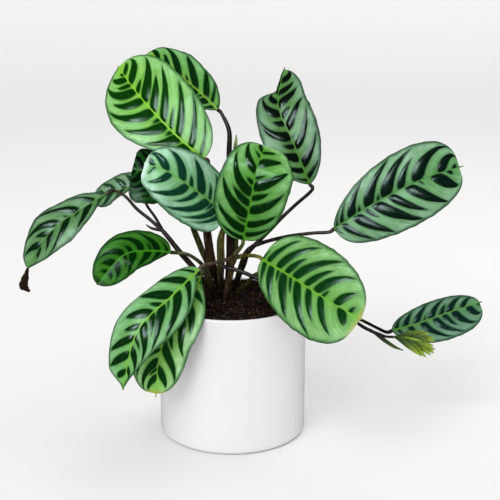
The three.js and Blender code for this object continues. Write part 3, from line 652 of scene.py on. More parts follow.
def colour_property(name, description, code):
    return bpy.props.FloatVectorProperty(
        name=name, description=description, subtype="COLOR", size=4, min=0, max=1,
        default=tint(code))


def length_property(name, description, default):
    return bpy.props.FloatProperty(
        name=name, description=description, default=default, min=0, unit="LENGTH")


def power_property(name, description, default):
    return bpy.props.FloatProperty(
        name=name, description=description, default=default, min=0, unit="POWER")


class PotSettings(bpy.types.PropertyGroup):
    """Sizes and glaze of the pot."""

    radius: length_property("Radius", "Outer radius of the pot", float(POT_CORNER[0]))
    height: length_property("Height", "Height of the pot", float(POT_CORNER[2]))
    wall: length_property("Wall", "Thickness of the wall", 3.6 * MM)
    foot_inset: length_property("Foot inset", "Radius of the rounded foot edge", 5 * MM)
    glaze: colour_property("Glaze", "Colour of the glaze", "F8F6F7")


class SoilSettings(bpy.types.PropertyGroup):
    """Crumbs and colour of the potting mix."""

    crumb: length_property("Crumb", "Mean radius of a crumb", 0.7 * MM)
    density: bpy.props.FloatProperty(
        name="Density", description="Crumbs for each square metre", default=430000, min=0)
    seed: bpy.props.IntProperty(name="Seed", description="Order of the crumbs", default=7)
    dark: colour_property("Dark", "Colour of the damp crumbs", "0E0805")
    light: colour_property("Light", "Colour of the dry specks", "B49A78")


class LeafSettings(bpy.types.PropertyGroup):
    """Thickness and relief that all blades share."""

    thickness: length_property("Thickness", "Thickness of a blade at its middle", 0.7 * MM)
    grid: length_property("Grid", "Distance between the points of a blade's mesh", 1.15 * MM)
    pucker: length_property("Pucker", "Height of the dark bands above the rest", 0.75 * MM)
    roughness: bpy.props.FloatProperty(
        name="Roughness", description="Roughness of the upper side", default=0.17, min=0, max=1)


class StemSettings(bpy.types.PropertyGroup):
    """Form of the stems."""

    sides: bpy.props.IntProperty(
        name="Sides", description="Faces round a stem", default=14, min=3)
    uneven: length_property("Unevenness", "Height of the lumps on a stem", 0.16 * MM)


class SpikeSettings(bpy.types.PropertyGroup):
    """Colours of the flower spike and the small bracts."""

    green: colour_property("Green", "Colour of the bracts", "A4C436")
    shade: colour_property("Shade", "Colour at the root of the bracts", "2C4A0C")
    tip: colour_property("Tip", "Colour of the dry tips", "2E2010")


class StageSettings(bpy.types.PropertyGroup):
    """Floor, light and camera."""

    floor: colour_property("Floor", "Colour of the floor", "F4F3F1")
    key: bpy.props.FloatProperty(
        name="Key light", description="Strength of the soft front light", default=1.15, min=0)
    top: power_property("Top light", "Power of the light above and behind", 6)
    glint: power_property("Glint", "Power of the small lights that only gloss shows", 7)
    sky: bpy.props.FloatProperty(
        name="Surround", description="Strength of the even light", default=0.68, min=0)


# ------------------------------------------------------------------------------ curves


def smooth_step(value, low, high):
    """0 up to low, 1 from high on, and smooth between."""
    way = np.clip((value - low) / (high - low), 0, 1)
    return way * way * (3 - 2 * way)


def through(points, shares):
    """Points and tangents of a uniform Catmull-Rom curve at shares of its parameter."""
    points = np.array(points, float)
    spans = len(points) - 1
    padded = np.vstack([2 * points[0] - points[1], points, 2 * points[-1] - points[-2]])
    way = np.clip(np.asarray(shares, float), 0, 1) * spans
    span = np.minimum(way.astype(int), spans - 1)
    t = (way - span)[:, None]
    before, start, end, after = (padded[span + i] for i in range(4))
    start_slope = (end - before) / 2
    end_slope = (after - start) / 2
    cubic = 2 * start - 2 * end + start_slope + end_slope
    square = -3 * start + 3 * end - 2 * start_slope - end_slope
    places = ((cubic * t + square) * t + start_slope) * t + start
    slope = (3 * cubic * t + 2 * square) * t + start_slope
    return places, slope / np.linalg.norm(slope, axis=1, keepdims=True)


def by_length(points, shares, divisions=200):
    """Points, tangents and whole length, at shares of the curve's length."""
    steps = np.linspace(0, 1, divisions + 1)
    places, _ = through(points, steps)
    run = np.concatenate([[0], np.cumsum(np.linalg.norm(np.diff(places, axis=0), axis=1))])
    where = np.interp(shares, run / run[-1], steps)
    at, slope = through(points, where)
    return at, slope, run[-1]


def spread_along(radii, shares):
    """Radii at shares of a route that has one of the given radii at each of its points."""
    return np.interp(shares * (len(radii) - 1), np.arange(len(radii)), radii)


def arc(x, z, radius, first, last, steps):
    """Points of an arc round (x, z), from one angle in degrees to another."""
    angles = np.radians(np.linspace(first, last, steps))
    return [(x + radius * math.cos(angle), z + radius * math.sin(angle)) for angle in angles]


# ------------------------------------------------------------------------------ mesh making


def add_object(name, data):
    """An object at the origin."""
    piece = bpy.data.objects.new(name, data)
    bpy.context.scene.collection.objects.link(piece)
    return piece


def new_piece(name, points, faces, materials, slots=None, sharp=None):
    """A mesh object from points in millimetres, smooth but for edges sharper than an angle."""
    mesh = bpy.data.meshes.new(name)
    mesh.from_pydata((np.asarray(points) * MM).tolist(), [], faces)
    mesh.validate()
    for material in materials:
        mesh.materials.append(material)
    if slots is not None:
        mesh.polygons.foreach_set("material_index", np.asarray(slots, dtype=np.int32))
    mesh.polygons.foreach_set("use_smooth", np.ones(len(mesh.polygons), dtype=bool))
    if sharp is not None:
        mesh.set_sharp_from_angle(angle=math.radians(sharp))
    return add_object(name, mesh)


def settle(piece, slot, *nodes):
    """Hangs the piece on the root body and hides the parts that it takes the place of; slot is not
    used.
    """
    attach(piece, "root")
    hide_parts(*nodes)


def point_attribute(mesh, name, values):
    attribute = mesh.attributes.new(name, "FLOAT", "POINT")
    attribute.data.foreach_set("value", np.asarray(values, dtype=np.float32).ravel())


def uv_map(mesh, name, values):
    """A UV map from one pair of values for each point."""
    layer = mesh.uv_layers.new(name=name)
    corners = np.empty(len(mesh.loops), dtype=np.int32)
    mesh.loops.foreach_get("vertex_index", corners)
    values = np.asarray(values, dtype=np.float32).reshape(-1, 2)
    layer.data.foreach_set("uv", values[corners].ravel())


def skin(rings, sides):
    """Quads between equal rings of points."""
    faces = []
    for ring in range(rings - 1):
        for side in range(sides):
            a = ring * sides + side
            b = ring * sides + (side + 1) % sides
            faces.append((a, b, b + sides, a + sides))
    return faces


def turned(profile, sides):
    """Rings of points round the Z axis at radii and heights, and the faces between them.

    A height is one number, or one for each point of its ring.
    """
    angle = 2 * np.pi * np.arange(sides) / sides
    points = []
    for radius, height in profile:
        heights = np.broadcast_to(height, sides)
        points += list(zip(radius * np.cos(angle), radius * np.sin(angle), heights))
    return points, skin(len(profile), sides)


def close_on_axis(points, faces, sides, bottom, top):
    """Adds a fan of faces from the first and the last ring to points on the Z axis."""
    last = len(points) - sides
    points += [(0, 0, top), (0, 0, bottom)]
    for i in range(sides):
        after = (i + 1) % sides
        faces.append((last + i, last + after, len(points) - 2))
        faces.append((after, i, len(points) - 1))


# ------------------------------------------------------------------------------ node helpers


class Nodes:
    """A node tree with short ways to add nodes and join them."""

    def __init__(self, tree):
        self.tree = tree

    def feed(self, socket, value):
        """Links a socket to the value where that is an output, and sets it otherwise."""
        if isinstance(value, bpy.types.NodeSocket):
            self.tree.links.new(value, socket)
        else:
            socket.default_value = value

    def add(self, kind, inputs=None, **settings):
        """A new node with its settings and its inputs."""
        node = self.tree.nodes.new(kind)
        for name, value in settings.items():
            setattr(node, name, value)
        for socket, value in (inputs or {}).items():
            self.feed(node.inputs[socket], value)
        return node

    def get(self, kind, inputs=None, **settings):
        """The first output of a new node."""
        return self.add(kind, inputs, **settings).outputs[0]

    def maths(self, operation, *values):
        return self.get("ShaderNodeMath", dict(enumerate(values)), operation=operation)

    def total(self, first, *others):
        for other in others:
            first = self.maths("ADD", first, other)
        return first

    def weighted(self, *pairs):
        """The sum of values that are each multiplied by a weight."""
        return self.total(*(self.maths("MULTIPLY", *pair) for pair in pairs))

    def swing(self, noise, size):
        """Noise that swings about 0, not 0.5, times a size."""
        return self.maths("MULTIPLY", self.maths("SUBTRACT", noise, 0.5), size)

    def scaled(self, vector, factor):
        return self.get("ShaderNodeVectorMath", {0: vector, "Scale": factor}, operation="SCALE")

    def mark(self, value, low, high, start=0.0, end=1.0):
        """From start at low to end at high, without a corner."""
        inputs = {"Value": value, "From Min": low, "From Max": high,
                  "To Min": start, "To Max": end}
        return self.get("ShaderNodeMapRange", inputs, interpolation_type="SMOOTHSTEP")

    def blend(self, share, a, b, kind="MIX"):
        inputs = {0: share, 6: a, 7: b}
        return self.add("ShaderNodeMix", inputs, data_type="RGBA", blend_type=kind).outputs[2]

    def paint(self, color, other, value, mark):
        """A colour with another over it, as strong as the value's mark says."""
        return self.blend(self.mark(value, *mark), color, other)

    def shade(self, color, value, mark):
        """A colour made darker or lighter, as the value's mark says."""
        return self.blend(1.0, color, self.mark(value, *mark), "MULTIPLY")

    def noise(self, place, scale, detail=2.0, rough=0.5):
        """Noise of one scale, or of one for each axis."""
        if isinstance(scale, tuple):
            place = self.get("ShaderNodeVectorMath", {0: place, 1: scale}, operation="MULTIPLY")
            scale = 1.0
        inputs = {"Vector": place, "Scale": scale, "Detail": detail, "Roughness": rough}
        return self.get("ShaderNodeTexNoise", inputs)

    def attribute(self, name, output="Fac"):
        return self.add("ShaderNodeAttribute", attribute_name=name).outputs[output]

    def objects_place(self):
        return self.add("ShaderNodeTexCoord").outputs["Object"]

    def height_of(self, vector):
        return self.add("ShaderNodeSeparateXYZ", {0: vector}).outputs["Z"]


def new_group(name, kind, inputs, outputs):
    """A node group: its helper, the values given to it and the results it gives."""
    tree = bpy.data.node_groups.new(name, kind)
    for label, socket, default in inputs:
        made = tree.interface.new_socket(name=label, in_out="INPUT", socket_type=socket)
        if default is not None:
            made.default_value = default
    for label, socket in outputs:
        tree.interface.new_socket(name=label, in_out="OUTPUT", socket_type=socket)
    nodes = Nodes(tree)
    given = nodes.add("NodeGroupInput").outputs
    return nodes, given, nodes.add("NodeGroupOutput").inputs


def new_geometry_group(name, inputs):
    """A group of geometry nodes with its own inputs and a material."""
    inputs = [("Geometry", "NodeSocketGeometry", None), *inputs,
              ("Material", "NodeSocketMaterial", None)]
    return new_group(name, "GeometryNodeTree", inputs, [("Geometry", "NodeSocketGeometry")])


def run_nodes(name, source, tree, **values):
    """A plain mesh object of the source object's geometry after a tree of geometry nodes."""
    modifier = source.modifiers.new("build", "NODES")
    modifier.node_group = tree
    sockets = {
        item.name: item.identifier for item in tree.interface.items_tree
        if item.item_type == "SOCKET" and item.in_out == "INPUT"}
    for label, value in values.items():
        modifier[sockets[label]] = value
    source.update_tag()
    depsgraph = bpy.context.evaluated_depsgraph_get()
    mesh = bpy.data.meshes.new_from_object(source.evaluated_get(depsgraph))
    source.modifiers.remove(modifier)
    bpy.data.objects.remove(source)
    mesh.name = name
    return add_object(name, mesh)


def new_material(name, roughness, reflection):
    """A material: returns it, its helper and the inputs of its Principled BSDF."""
    material = bpy.data.materials.new(name)
    material.use_nodes = True
    shader = material.node_tree.nodes["Principled BSDF"].inputs
    shader["Roughness"].default_value = roughness
    shader["Specular IOR Level"].default_value = reflection
    return material, Nodes(material.node_tree), shader


def bump(nodes, shader, height, strength, distance):
    inputs = {"Strength": strength, "Distance": distance, "Height": height}
    nodes.feed(shader["Normal"], nodes.get("ShaderNodeBump", inputs))


# ------------------------------------------------------------------------------ blades


def half_width(outline, along):
    """Width of one half of a blade at shares of its length: a rounded oblong with a point.

    A half that is folded away near the tip keeps only a strip from the fold on.
    """
    widest, base, tip = outline[:3]
    peak = base / (base + tip)
    share = np.minimum(along / BLADE_END, 1)
    body = (share / peak) ** base * ((1 - share) / (1 - peak)) ** tip
    for fold in outline[3:]:
        body = body * (1 - FOLDED_SHARE * smooth_step(along, fold, fold + FOLD_LENGTH))
    point = POINT_HALF_WIDTH * np.minimum(1, (1 - along) / (1 - POINT_START))
    near = np.maximum(widest * body, BLADE_BASE_HALF_WIDTH)
    far = np.maximum(np.hypot(widest * body, point), POINT_END_HALF_WIDTH)
    return np.where(along < 0.5, near, far)


def vein_table(outline, length, lean, sweep):
    """Where veins from many origins cross each share of the way from midrib to margin."""
    origins = np.linspace(VEIN_FIRST, VEIN_LAST, VEIN_COUNT)
    along = origins.copy()
    leans = lean * np.clip(LEAST_LEAN + origins * LEAN_GROWTH, LEAST_LEAN, 1)
    rows = [along]
    step = 1 / VEIN_STEPS
    for i in range(VEIN_STEPS):
        way = (i + 0.5) * step * BLADE_END
        half = half_width(outline, np.clip(along, VEIN_NEAR_BASE, VEIN_NEAR_TIP))
        half = np.maximum(half, LEAST_HALF * outline[0]) / length
        along = along + step * half * (leans + sweep * way ** SWEEP_POWER)
        rows.append(along)
    return origins, np.array(rows)


def vein_origins(outline, length, lean, sweep, along, way):
    """Where on the midrib the vein through each place starts, for shares along and across."""
    origins, crossings = vein_table(outline, length, lean, sweep)
    columns = []
    for share in way:
        level = share * VEIN_STEPS
        low = min(int(level), VEIN_STEPS - 1)
        crossing = crossings[low] + (crossings[low + 1] - crossings[low]) * (level - low)
        columns.append(np.interp(along, crossing, origins))
    return np.stack(columns, axis=1)


def band_field(bands, origin, way, length, half):
    """The dark bands: millimetres to the edge of the nearest, positive inside it, and its dome."""
    field = np.full(origin.shape, -length)
    dome = np.zeros(origin.shape)
    peak = BAND_ROOT / (BAND_ROOT + BAND_TAIL)
    greatest = peak ** BAND_ROOT * (1 - peak) ** BAND_TAIL
    for centre, width, reach in bands:
        share = (way - BAND_START) / (reach - BAND_START)
        inside = np.clip(share, TINY, 1 - TINY)
        form = inside ** BAND_ROOT * (1 - inside) ** BAND_TAIL / greatest
        value = (width * form - np.abs(origin - centre)) * length * BAND_SLANT
        past = np.maximum(way - reach, BAND_START - way) * half
        value = np.where((share <= 0) | (share >= 1), np.minimum(value, -past), value)
        field = np.maximum(field, value)
        rise = 1 - (np.abs(origin - centre) / np.maximum(width * form, TINY)) ** 2
        rise = np.clip(rise, 0, 1) * min(width / DOMED_WIDTH, 1) * ((share > 0) & (share < 1))
        dome = np.maximum(dome, rise * smooth_step(share, 0, DOME_ROOT))
    return field, dome


def wave(along, phase, half, height, count, by_phase, by_half):
    """A fine wave of the margin."""
    return height * np.sin(count * along + by_phase * phase + by_half * half)


def half_form(leaf, half, along, way):
    """Distances out from the midrib and up from it of one half of a blade, and its widths."""
    outline = leaf[("left", "right")[half]]
    height, count, phase = leaf["wave"]
    ripple = sum(wave(along, phase, half, *each) for each in RIPPLES)
    width = (half_width(outline, along) * (1 + ripple))[:, None]
    distance = width * way[None, :]
    fold = math.radians(leaf["fold"][half])
    bend = math.radians(leaf["roll"][half]) / outline[0]
    outwards = (np.sin(fold + bend * distance) - math.sin(fold)) / bend
    lift = (math.cos(fold) - np.cos(fold + bend * distance)) / bend
    swing = np.sin(2 * math.pi * (count * along + phase + WAVE_SHIFT * half))[:, None]
    lift = lift + height * (distance / outline[0]) ** 2 * swing
    lift = lift + wave(along, phase, half, *FRILL)[:, None] * (distance / width) ** 4
    return outwards, lift, distance, width


def blade_grid(leaf, bands, point_end, step):
    """The middle surface of a blade, with what its relief and its colours need."""
    _, _, length = by_length(leaf["midrib"], np.array([0.0]))
    even = np.linspace(0, 1, int(length / step))
    share = EVEN_ROWS * even + (1 - EVEN_ROWS) * (1 - np.cos(np.pi * even)) / 2
    point = np.linspace(BLADE_END, point_end, POINT_ROWS)[1:]
    along = np.concatenate([share * BLADE_END, point])
    columns = 2 * int((leaf["left"][0] + leaf["right"][0]) / step / 2) + 1
    line = np.linspace(-1, 1, columns)
    across = np.sign(line) * np.abs(line) ** COLUMN_POWER
    centre, tangent, _ = by_length(leaf["midrib"], along)
    side = np.cross(tangent, np.array(leaf["faces"]))
    side /= np.linalg.norm(side, axis=1, keepdims=True)
    turn = np.radians(leaf["twist"] * (2 * along - 1))[:, None]
    side = side * np.cos(turn) + np.cross(tangent, side) * np.sin(turn)
    up = np.cross(side, tangent)
    places = np.zeros((len(along), columns, 3))
    names = ("origin", "offset", "inward", "band", "dome")
    grid = {name: np.zeros((len(along), columns)) for name in names}
    for half, name in enumerate(("left", "right")):
        chosen = np.flatnonzero((across >= 0) == bool(half))
        way = np.abs(across[chosen])
        outwards, lift, distance, width = half_form(leaf, half, along, way)
        if name == "left":
            outwards = -outwards
        places[:, chosen] = (
            centre[:, None] + side[:, None] * outwards[..., None] + up[:, None] * lift[..., None])
        lean, sweep = bands["veins"][half::2]
        origin = vein_origins(leaf[name], length, lean, sweep, along, way)
        grid["origin"][:, chosen] = origin
        grid["offset"][:, chosen] = distance
        grid["inward"][:, chosen] = width - distance
        grid["band"][:, chosen], grid["dome"][:, chosen] = band_field(
            bands[name], origin, way[None, :], length, width)
    return places, along, length, grid


def surface_normals(places):
    """Unit normals of a grid of points, on the side of the upper face."""
    lengthwise = np.gradient(places, axis=0)
    crosswise = np.gradient(places, axis=1)
    normal = np.cross(crosswise, lengthwise)
    return normal / np.linalg.norm(normal, axis=2, keepdims=True)


def blade_sides(places, along, length, grid, thickness, pucker):
    """The upper and the lower side of a blade, with bands, side veins, midrib and groove."""
    offset = grid["offset"]
    inward = grid["inward"]
    fade = np.clip(inward / RELIEF_TO_MARGIN, 0, 1) * np.clip(offset / RELIEF_TO_MIDRIB, 0, 1)
    ribs = RIB_HEIGHT * np.cos(2 * np.pi * grid["origin"] * length / RIB_DISTANCE)
    relief = (grid["dome"] * pucker + ribs) * fade
    places = places + surface_normals(places) * relief[..., None]
    normal = surface_normals(places)
    half = thickness / 2 * (1 - MARGIN_THINNING * (offset / (offset + inward)) ** 3)
    slim = (1 - MIDRIB_TAPER * along)[:, None]
    keel_width = KEEL_WIDTH * slim + KEEL_LEAST_WIDTH
    keel = KEEL_HEIGHT * slim * np.exp(-(offset / keel_width) ** 2)
    groove = GROOVE_DEPTH * slim * np.exp(-(offset / GROOVE_WIDTH) ** 2)
    upper = places + normal * (half - groove)[..., None]
    lower = places - normal * (half + keel)[..., None]
    return upper, lower


def blade_faces(rows, columns):
    """Faces of two grids, closed round the margin, and the material slot of each."""
    under = rows * columns
    faces = []
    for row in range(rows - 1):
        for column in range(columns - 1):
            a = row * columns + column
            d = a + columns
            faces.append((a, a + 1, d + 1, d))
            faces.append((under + a, under + d, under + d + 1, under + a + 1))
    slots = [0, 1] * (len(faces) // 2)
    last = (rows - 1) * columns
    edge = [*range(columns - 1)]
    edge += [row * columns + columns - 1 for row in range(rows - 1)]
    edge += [last + column for column in range(columns - 1, 0, -1)]
    edge += [row * columns for row in range(rows - 1, 0, -1)]
    for a, b in zip(edge, edge[1:] + edge[:1]):
        faces.append((a, under + a, under + b, b))
        slots.append(0)
    return faces, slots


def dead_tip():
    """The crumpled dry end of the drooping leaf."""
    points, faces, _ = pod(DEAD_TIP_ROUTE, DEAD_TIP_RADII, DEAD_TIP_SIDE, DEAD_TIP_FLATNESS,
                           DEAD_TIP_RINGS, DEAD_TIP_SIDES, keel=0.0)
    points = np.array(points)
    x, _, z = points.T
    crumple = CRUMPLE * np.sin(x * 1.9 + 2 * np.sin(z * 0.8)) * np.cos(z * 1.3)
    rings = points.reshape(DEAD_TIP_RINGS, DEAD_TIP_SIDES, 3)
    middle = rings.mean(axis=1).repeat(DEAD_TIP_SIDES, axis=0)
    return points + (points - middle) * crumple[:, None], faces


def make_blade(key, settings, materials):
    """One leaf blade: two faces on one grid, thin at the margin, with its midrib below."""
    places, along, length, grid = blade_grid(
        LEAVES[key], BANDS[key], POINT_ENDS.get(key, POINT_END), settings.grid / MM)
    upper, lower = blade_sides(places, along, length, grid, settings.thickness / MM,
                               settings.pucker / MM * PUCKERS.get(key, 1))
    rows, columns = places.shape[:2]
    points = np.vstack([upper.reshape(-1, 3), lower.reshape(-1, 3)])
    faces, slots = blade_faces(rows, columns)
    extra = 0
    if key == "j":
        dry_points, dry_faces = dead_tip()
        extra = len(dry_points)
        faces += [tuple(len(points) + i for i in face) for face in dry_faces]
        slots += [0] * len(dry_faces)
        points = np.vstack([points, dry_points])
    piece = new_piece("leaf_" + key + "_blade", points, faces, materials, slots, sharp=55)
    for name in ("band", "offset", "inward"):
        values = np.tile(grid[name].ravel(), 2)
        dry = np.full(extra, DRY_DISTANCE)
        point_attribute(piece.data, name, np.concatenate([values, dry]))
    values = np.tile(np.repeat(along, columns), 2)
    point_attribute(piece.data, "along", np.concatenate([values, np.full(extra, DRY_ALONG)]))
    veins = np.stack([grid["origin"] * length, grid["offset"]], axis=-1).reshape(-1, 2)
    uv_map(piece.data, "veins", np.vstack([veins, veins, np.zeros((extra, 2))]) * VEIN_UV)
    return piece


def blade_markings():
    """Shader group: the fishbone bands, the veins, the midrib and the margin of a blade."""
    colours = ["Pale", "Silver", "Deep", "Middle", "Rib", "Rim", "Tip"]
    inputs = [(name, "NodeSocketColor", (0.5, 0.5, 0.5, 1)) for name in colours]
    inputs += [("Tip start", "NodeSocketFloat", 1.0), ("Smoothest", "NodeSocketFloat", 0.5)]
    outputs = [("Color", "NodeSocketColor"), ("Roughness", "NodeSocketFloat"),
               ("Height", "NodeSocketFloat")]
    nodes, given, result = new_group("Blade markings", "ShaderNodeTree", inputs, outputs)
    marks = BLADE_MARKS
    place = nodes.objects_place()
    veins = nodes.get("ShaderNodeUVMap", uv_map="veins")
    names = ("band", "offset", "inward", "along")
    band, offset, inward, along = (nodes.attribute(name) for name in names)
    streak = nodes.noise(veins, (14, 1.6, 1), 3.0, 0.6)
    hair = nodes.noise(veins, (36, 1.6, 1), 2.0, 0.6)
    line = nodes.noise(veins, (6.5, 0.45, 1), 1.0, 0.5)
    mottle = nodes.noise(place, 140, 3.0, 0.55)
    grit = nodes.noise(place, 1500, 2.0, 0.6)
    waver = nodes.total(nodes.swing(streak, 1.6), nodes.swing(mottle, 1.2))
    edge = nodes.total(band, waver)
    # The pale blade: silvery outwards, partly as painted sheen, lit along the midrib, and fuller in
    # fine lines along the veins, beside the dark bands as partly painted shade, and near the margin.
    outward = nodes.maths("DIVIDE", offset, nodes.total(offset, inward, 0.01))
    silver_and_sheen = nodes.maths("MULTIPLY", nodes.mark(outward, *marks["silver_and_sheen"]),
                         nodes.mark(mottle, *marks["silver patches"]))
    pale = nodes.blend(silver_and_sheen, given["Pale"], given["Silver"])
    pale = nodes.paint(pale, given["Rib"], offset, marks["glow"])
    pale = nodes.paint(pale, given["Middle"], hair, marks["hairs"])
    pale = nodes.paint(pale, given["Middle"], line, marks["lines"])
    # Painted light in the middle of each pale stripe; the halo below is partly painted shade.
    light = nodes.mark(edge, *marks["painted light between"])
    pale = nodes.blend(light, pale, (1, 1, 1, 1), "SOFT_LIGHT")
    pale = nodes.paint(pale, given["Middle"], edge, marks["halo and painted shade"])
    pale = nodes.paint(pale, given["Middle"], nodes.total(inward, waver), marks["border"])
    # The dark bands over it, then the midrib, the margin and the dry tip.
    deep = nodes.paint(given["Deep"], given["Pale"], streak, marks["streaks"])
    inside = nodes.mark(edge, *marks["band"])
    color = nodes.blend(inside, pale, deep)
    slim = nodes.maths("SUBTRACT", RIB_HALF_WIDTH, nodes.maths("MULTIPLY", along, RIB_TAPER))
    color = nodes.paint(color, given["Rib"], nodes.maths("SUBTRACT", offset, slim), marks["rib"])
    color = nodes.paint(color, given["Rim"], inward, marks["rim"])
    past = nodes.maths("SUBTRACT", nodes.total(along, nodes.swing(mottle, 0.05)),
                       given["Tip start"])
    color = nodes.paint(color, given["Tip"], past, marks["tip"])
    rough = nodes.total(
        given["Smoothest"], nodes.mark(inside, *marks["pale roughness"]),
        nodes.mark(inward, *marks["margin roughness"]),
        nodes.mark(streak, *marks["streak roughness"]))
    nodes.feed(result["Color"], nodes.shade(color, mottle, marks["shade"]))
    nodes.feed(result["Roughness"], rough)
    nodes.feed(result["Height"], nodes.weighted((streak, 0.8), (hair, 0.5), (grit, 0.1)))
    return nodes.tree


def middle_tint(pale, deep):
    """The fuller green between the pale blade and its dark bands."""
    return tuple(d + (p - d) * share for p, d, share in zip(pale, deep, MIDDLE_SHARES))


def blade_material(name, markings, colours, tip_start, roughness, reflection):
    """One side of a blade, in its own colours."""
    material, nodes, shader = new_material(name, roughness, reflection)
    pale, _, deep, *_ = colours
    inputs = dict(zip(("Pale", "Silver", "Deep", "Rib", "Rim", "Tip"), map(tint, colours)))
    inputs["Middle"] = middle_tint(tint(pale), tint(deep))
    inputs["Tip start"] = tip_start
    inputs["Smoothest"] = roughness
    group = nodes.add("ShaderNodeGroup", inputs, node_tree=markings)
    nodes.feed(shader["Base Color"], group.outputs["Color"])
    nodes.feed(shader["Roughness"], group.outputs["Roughness"])
    shader["Specular Tint"].default_value = tint(SHINE_TINT)
    bump(nodes, shader, group.outputs["Height"], strength=0.2, distance=0.5 * MM)
    return material


# ------------------------------------------------------------------------------ stems and soil


def finish_tree(nodes, given, result, geometry):
    """Ends a tree of geometry nodes with plain geometry in its material."""
    solid = nodes.get("GeometryNodeRealizeInstances", {"Geometry": geometry})
    inputs = {"Geometry": solid, "Material": given["Material"]}
    nodes.feed(result["Geometry"], nodes.get("GeometryNodeSetMaterial", inputs))
    return nodes.tree


def stem_tree():
    """Geometry nodes: a round skin along each path, as thick as the path's radius says."""
    nodes, given, result = new_geometry_group("Stem along its path", [
        ("Sides", "NodeSocketInt", 12), ("Unevenness", "NodeSocketFloat", 0.0)])
    share = nodes.get("GeometryNodeSplineParameter")
    path = nodes.get(
        "GeometryNodeStoreNamedAttribute",
        {"Geometry": given["Geometry"], "Name": "along", "Value": share},
        data_type="FLOAT", domain="POINT")
    ring = nodes.get(
        "GeometryNodeCurvePrimitiveCircle", {"Resolution": given["Sides"], "Radius": 1.0},
        mode="RADIUS")
    tube = nodes.get("GeometryNodeCurveToMesh", {
        "Curve": path, "Profile Curve": ring, "Fill Caps": True,
        "Scale": nodes.get("GeometryNodeInputRadius")})
    lumps = nodes.noise(nodes.get("GeometryNodeInputPosition"), 260)
    offset = nodes.scaled(
        nodes.get("GeometryNodeInputNormal"), nodes.swing(lumps, given["Unevenness"]))
    uneven = nodes.get("GeometryNodeSetPosition", {"Geometry": tube, "Offset": offset})
    smooth = nodes.get("GeometryNodeSetShadeSmooth", {"Geometry": uneven})
    return finish_tree(nodes, given, result, smooth)


def stem_material():
    """Smooth, slightly fibrous stems, whose colour is stored on each branch."""
    material, nodes, shader = new_material("Stems", roughness=0.42, reflection=0.3)
    marks = STEM_MARKS
    place = nodes.objects_place()
    lower = nodes.attribute("lower", "Color")
    upper = nodes.attribute("upper", "Color")
    mottle = nodes.noise(place, 160, 3.0, 0.6)
    fibre = nodes.noise(place, (620, 620, 30), 3.0, 0.6)
    way = nodes.total(nodes.attribute("along"), nodes.swing(mottle, 0.5))
    color = nodes.paint(lower, upper, way, marks["upper"])
    color = nodes.shade(color, fibre, marks["fibre"])
    streaks = nodes.maths("MULTIPLY", nodes.mark(fibre, *marks["streaks"]),
                          nodes.mark(mottle, *marks["streak patches"]))
    color = nodes.blend(streaks, color, tint(STREAK_TINT))
    # Painted shade: the stems get darker towards the soil.
    color = nodes.shade(color, nodes.height_of(place), marks["painted shade near soil"])
    nodes.feed(shader["Base Color"], color)
    nodes.feed(shader["Roughness"], nodes.mark(fibre, *marks["roughness"]))
    bump(nodes, shader, fibre, strength=0.4, distance=0.6 * MM)
    return material


def path_object(routes):
    """A curve object with one poly spline for each route of points and radii."""
    data = bpy.data.curves.new("paths", "CURVE")
    data.dimensions = "3D"
    for points, radii in routes:
        spline = data.splines.new("POLY")
        spline.points.add(len(points) - 1)
        flat = np.column_stack([np.asarray(points) * MM, np.ones(len(points))])
        spline.points.foreach_set("co", flat.ravel())
        spline.points.foreach_set("radius", np.asarray(radii) * MM)
    return add_object("paths", data)


def branch_path(foot, branch, first):
    """Fine points and radii of one branch, from the soil or the fork to the blade."""
    route, radii, leaf = branch[:3]
    route = [tuple(point) for point in route]
    radii = list(radii)
    if first:
        heights = (HOLE_BOTTOM, (HOLE_BOTTOM + SOIL_TOP) / 2, SOIL_TOP + COLLAR)
        route = [(*foot, z) for z in heights] + route
        radii = [radii[0]] * len(heights) + radii
    if leaf:
        base, tangent, _ = by_length(LEAVES[leaf]["midrib"], np.array([0.0]))
        route += [tuple(base[0] - PULVINUS_LENGTH * tangent[0]), tuple(base[0])]
        radii += [PULVINUS_NECK, PULVINUS_RADIUS]
    shares = np.linspace(0, 1, ROUTE_STEPS * (len(route) - 1) + 1)
    points, _ = through(route, shares)
    spread = spread_along(radii, shares)
    if leaf:
        spread[-2:] *= PULVINUS_ROUNDING
    return points, spread


def make_shoot(name, tree, settings, material):
    """One shoot with all its branches, in one mesh."""
    foot, branches = SHOOTS[name]
    routes = [branch_path(foot, branch, i == 0) for i, branch in enumerate(branches)]
    piece = run_nodes("shoot_" + name + "_stems", path_object(routes), tree,
                      Sides=settings.sides, Unevenness=settings.uneven, Material=material)
    for label, column in (("lower", 3), ("upper", 4)):
        attribute = piece.data.attributes.new(label, "FLOAT_COLOR", "POINT")
        colours = np.concatenate([
            np.tile(tint(branch[column]), (len(points) * settings.sides, 1))
            for branch, (points, _) in zip(branches, routes)])
        attribute.data.foreach_set("color", colours.astype(np.float32).ravel())
    settle(piece, "stem", "shoot_" + name)


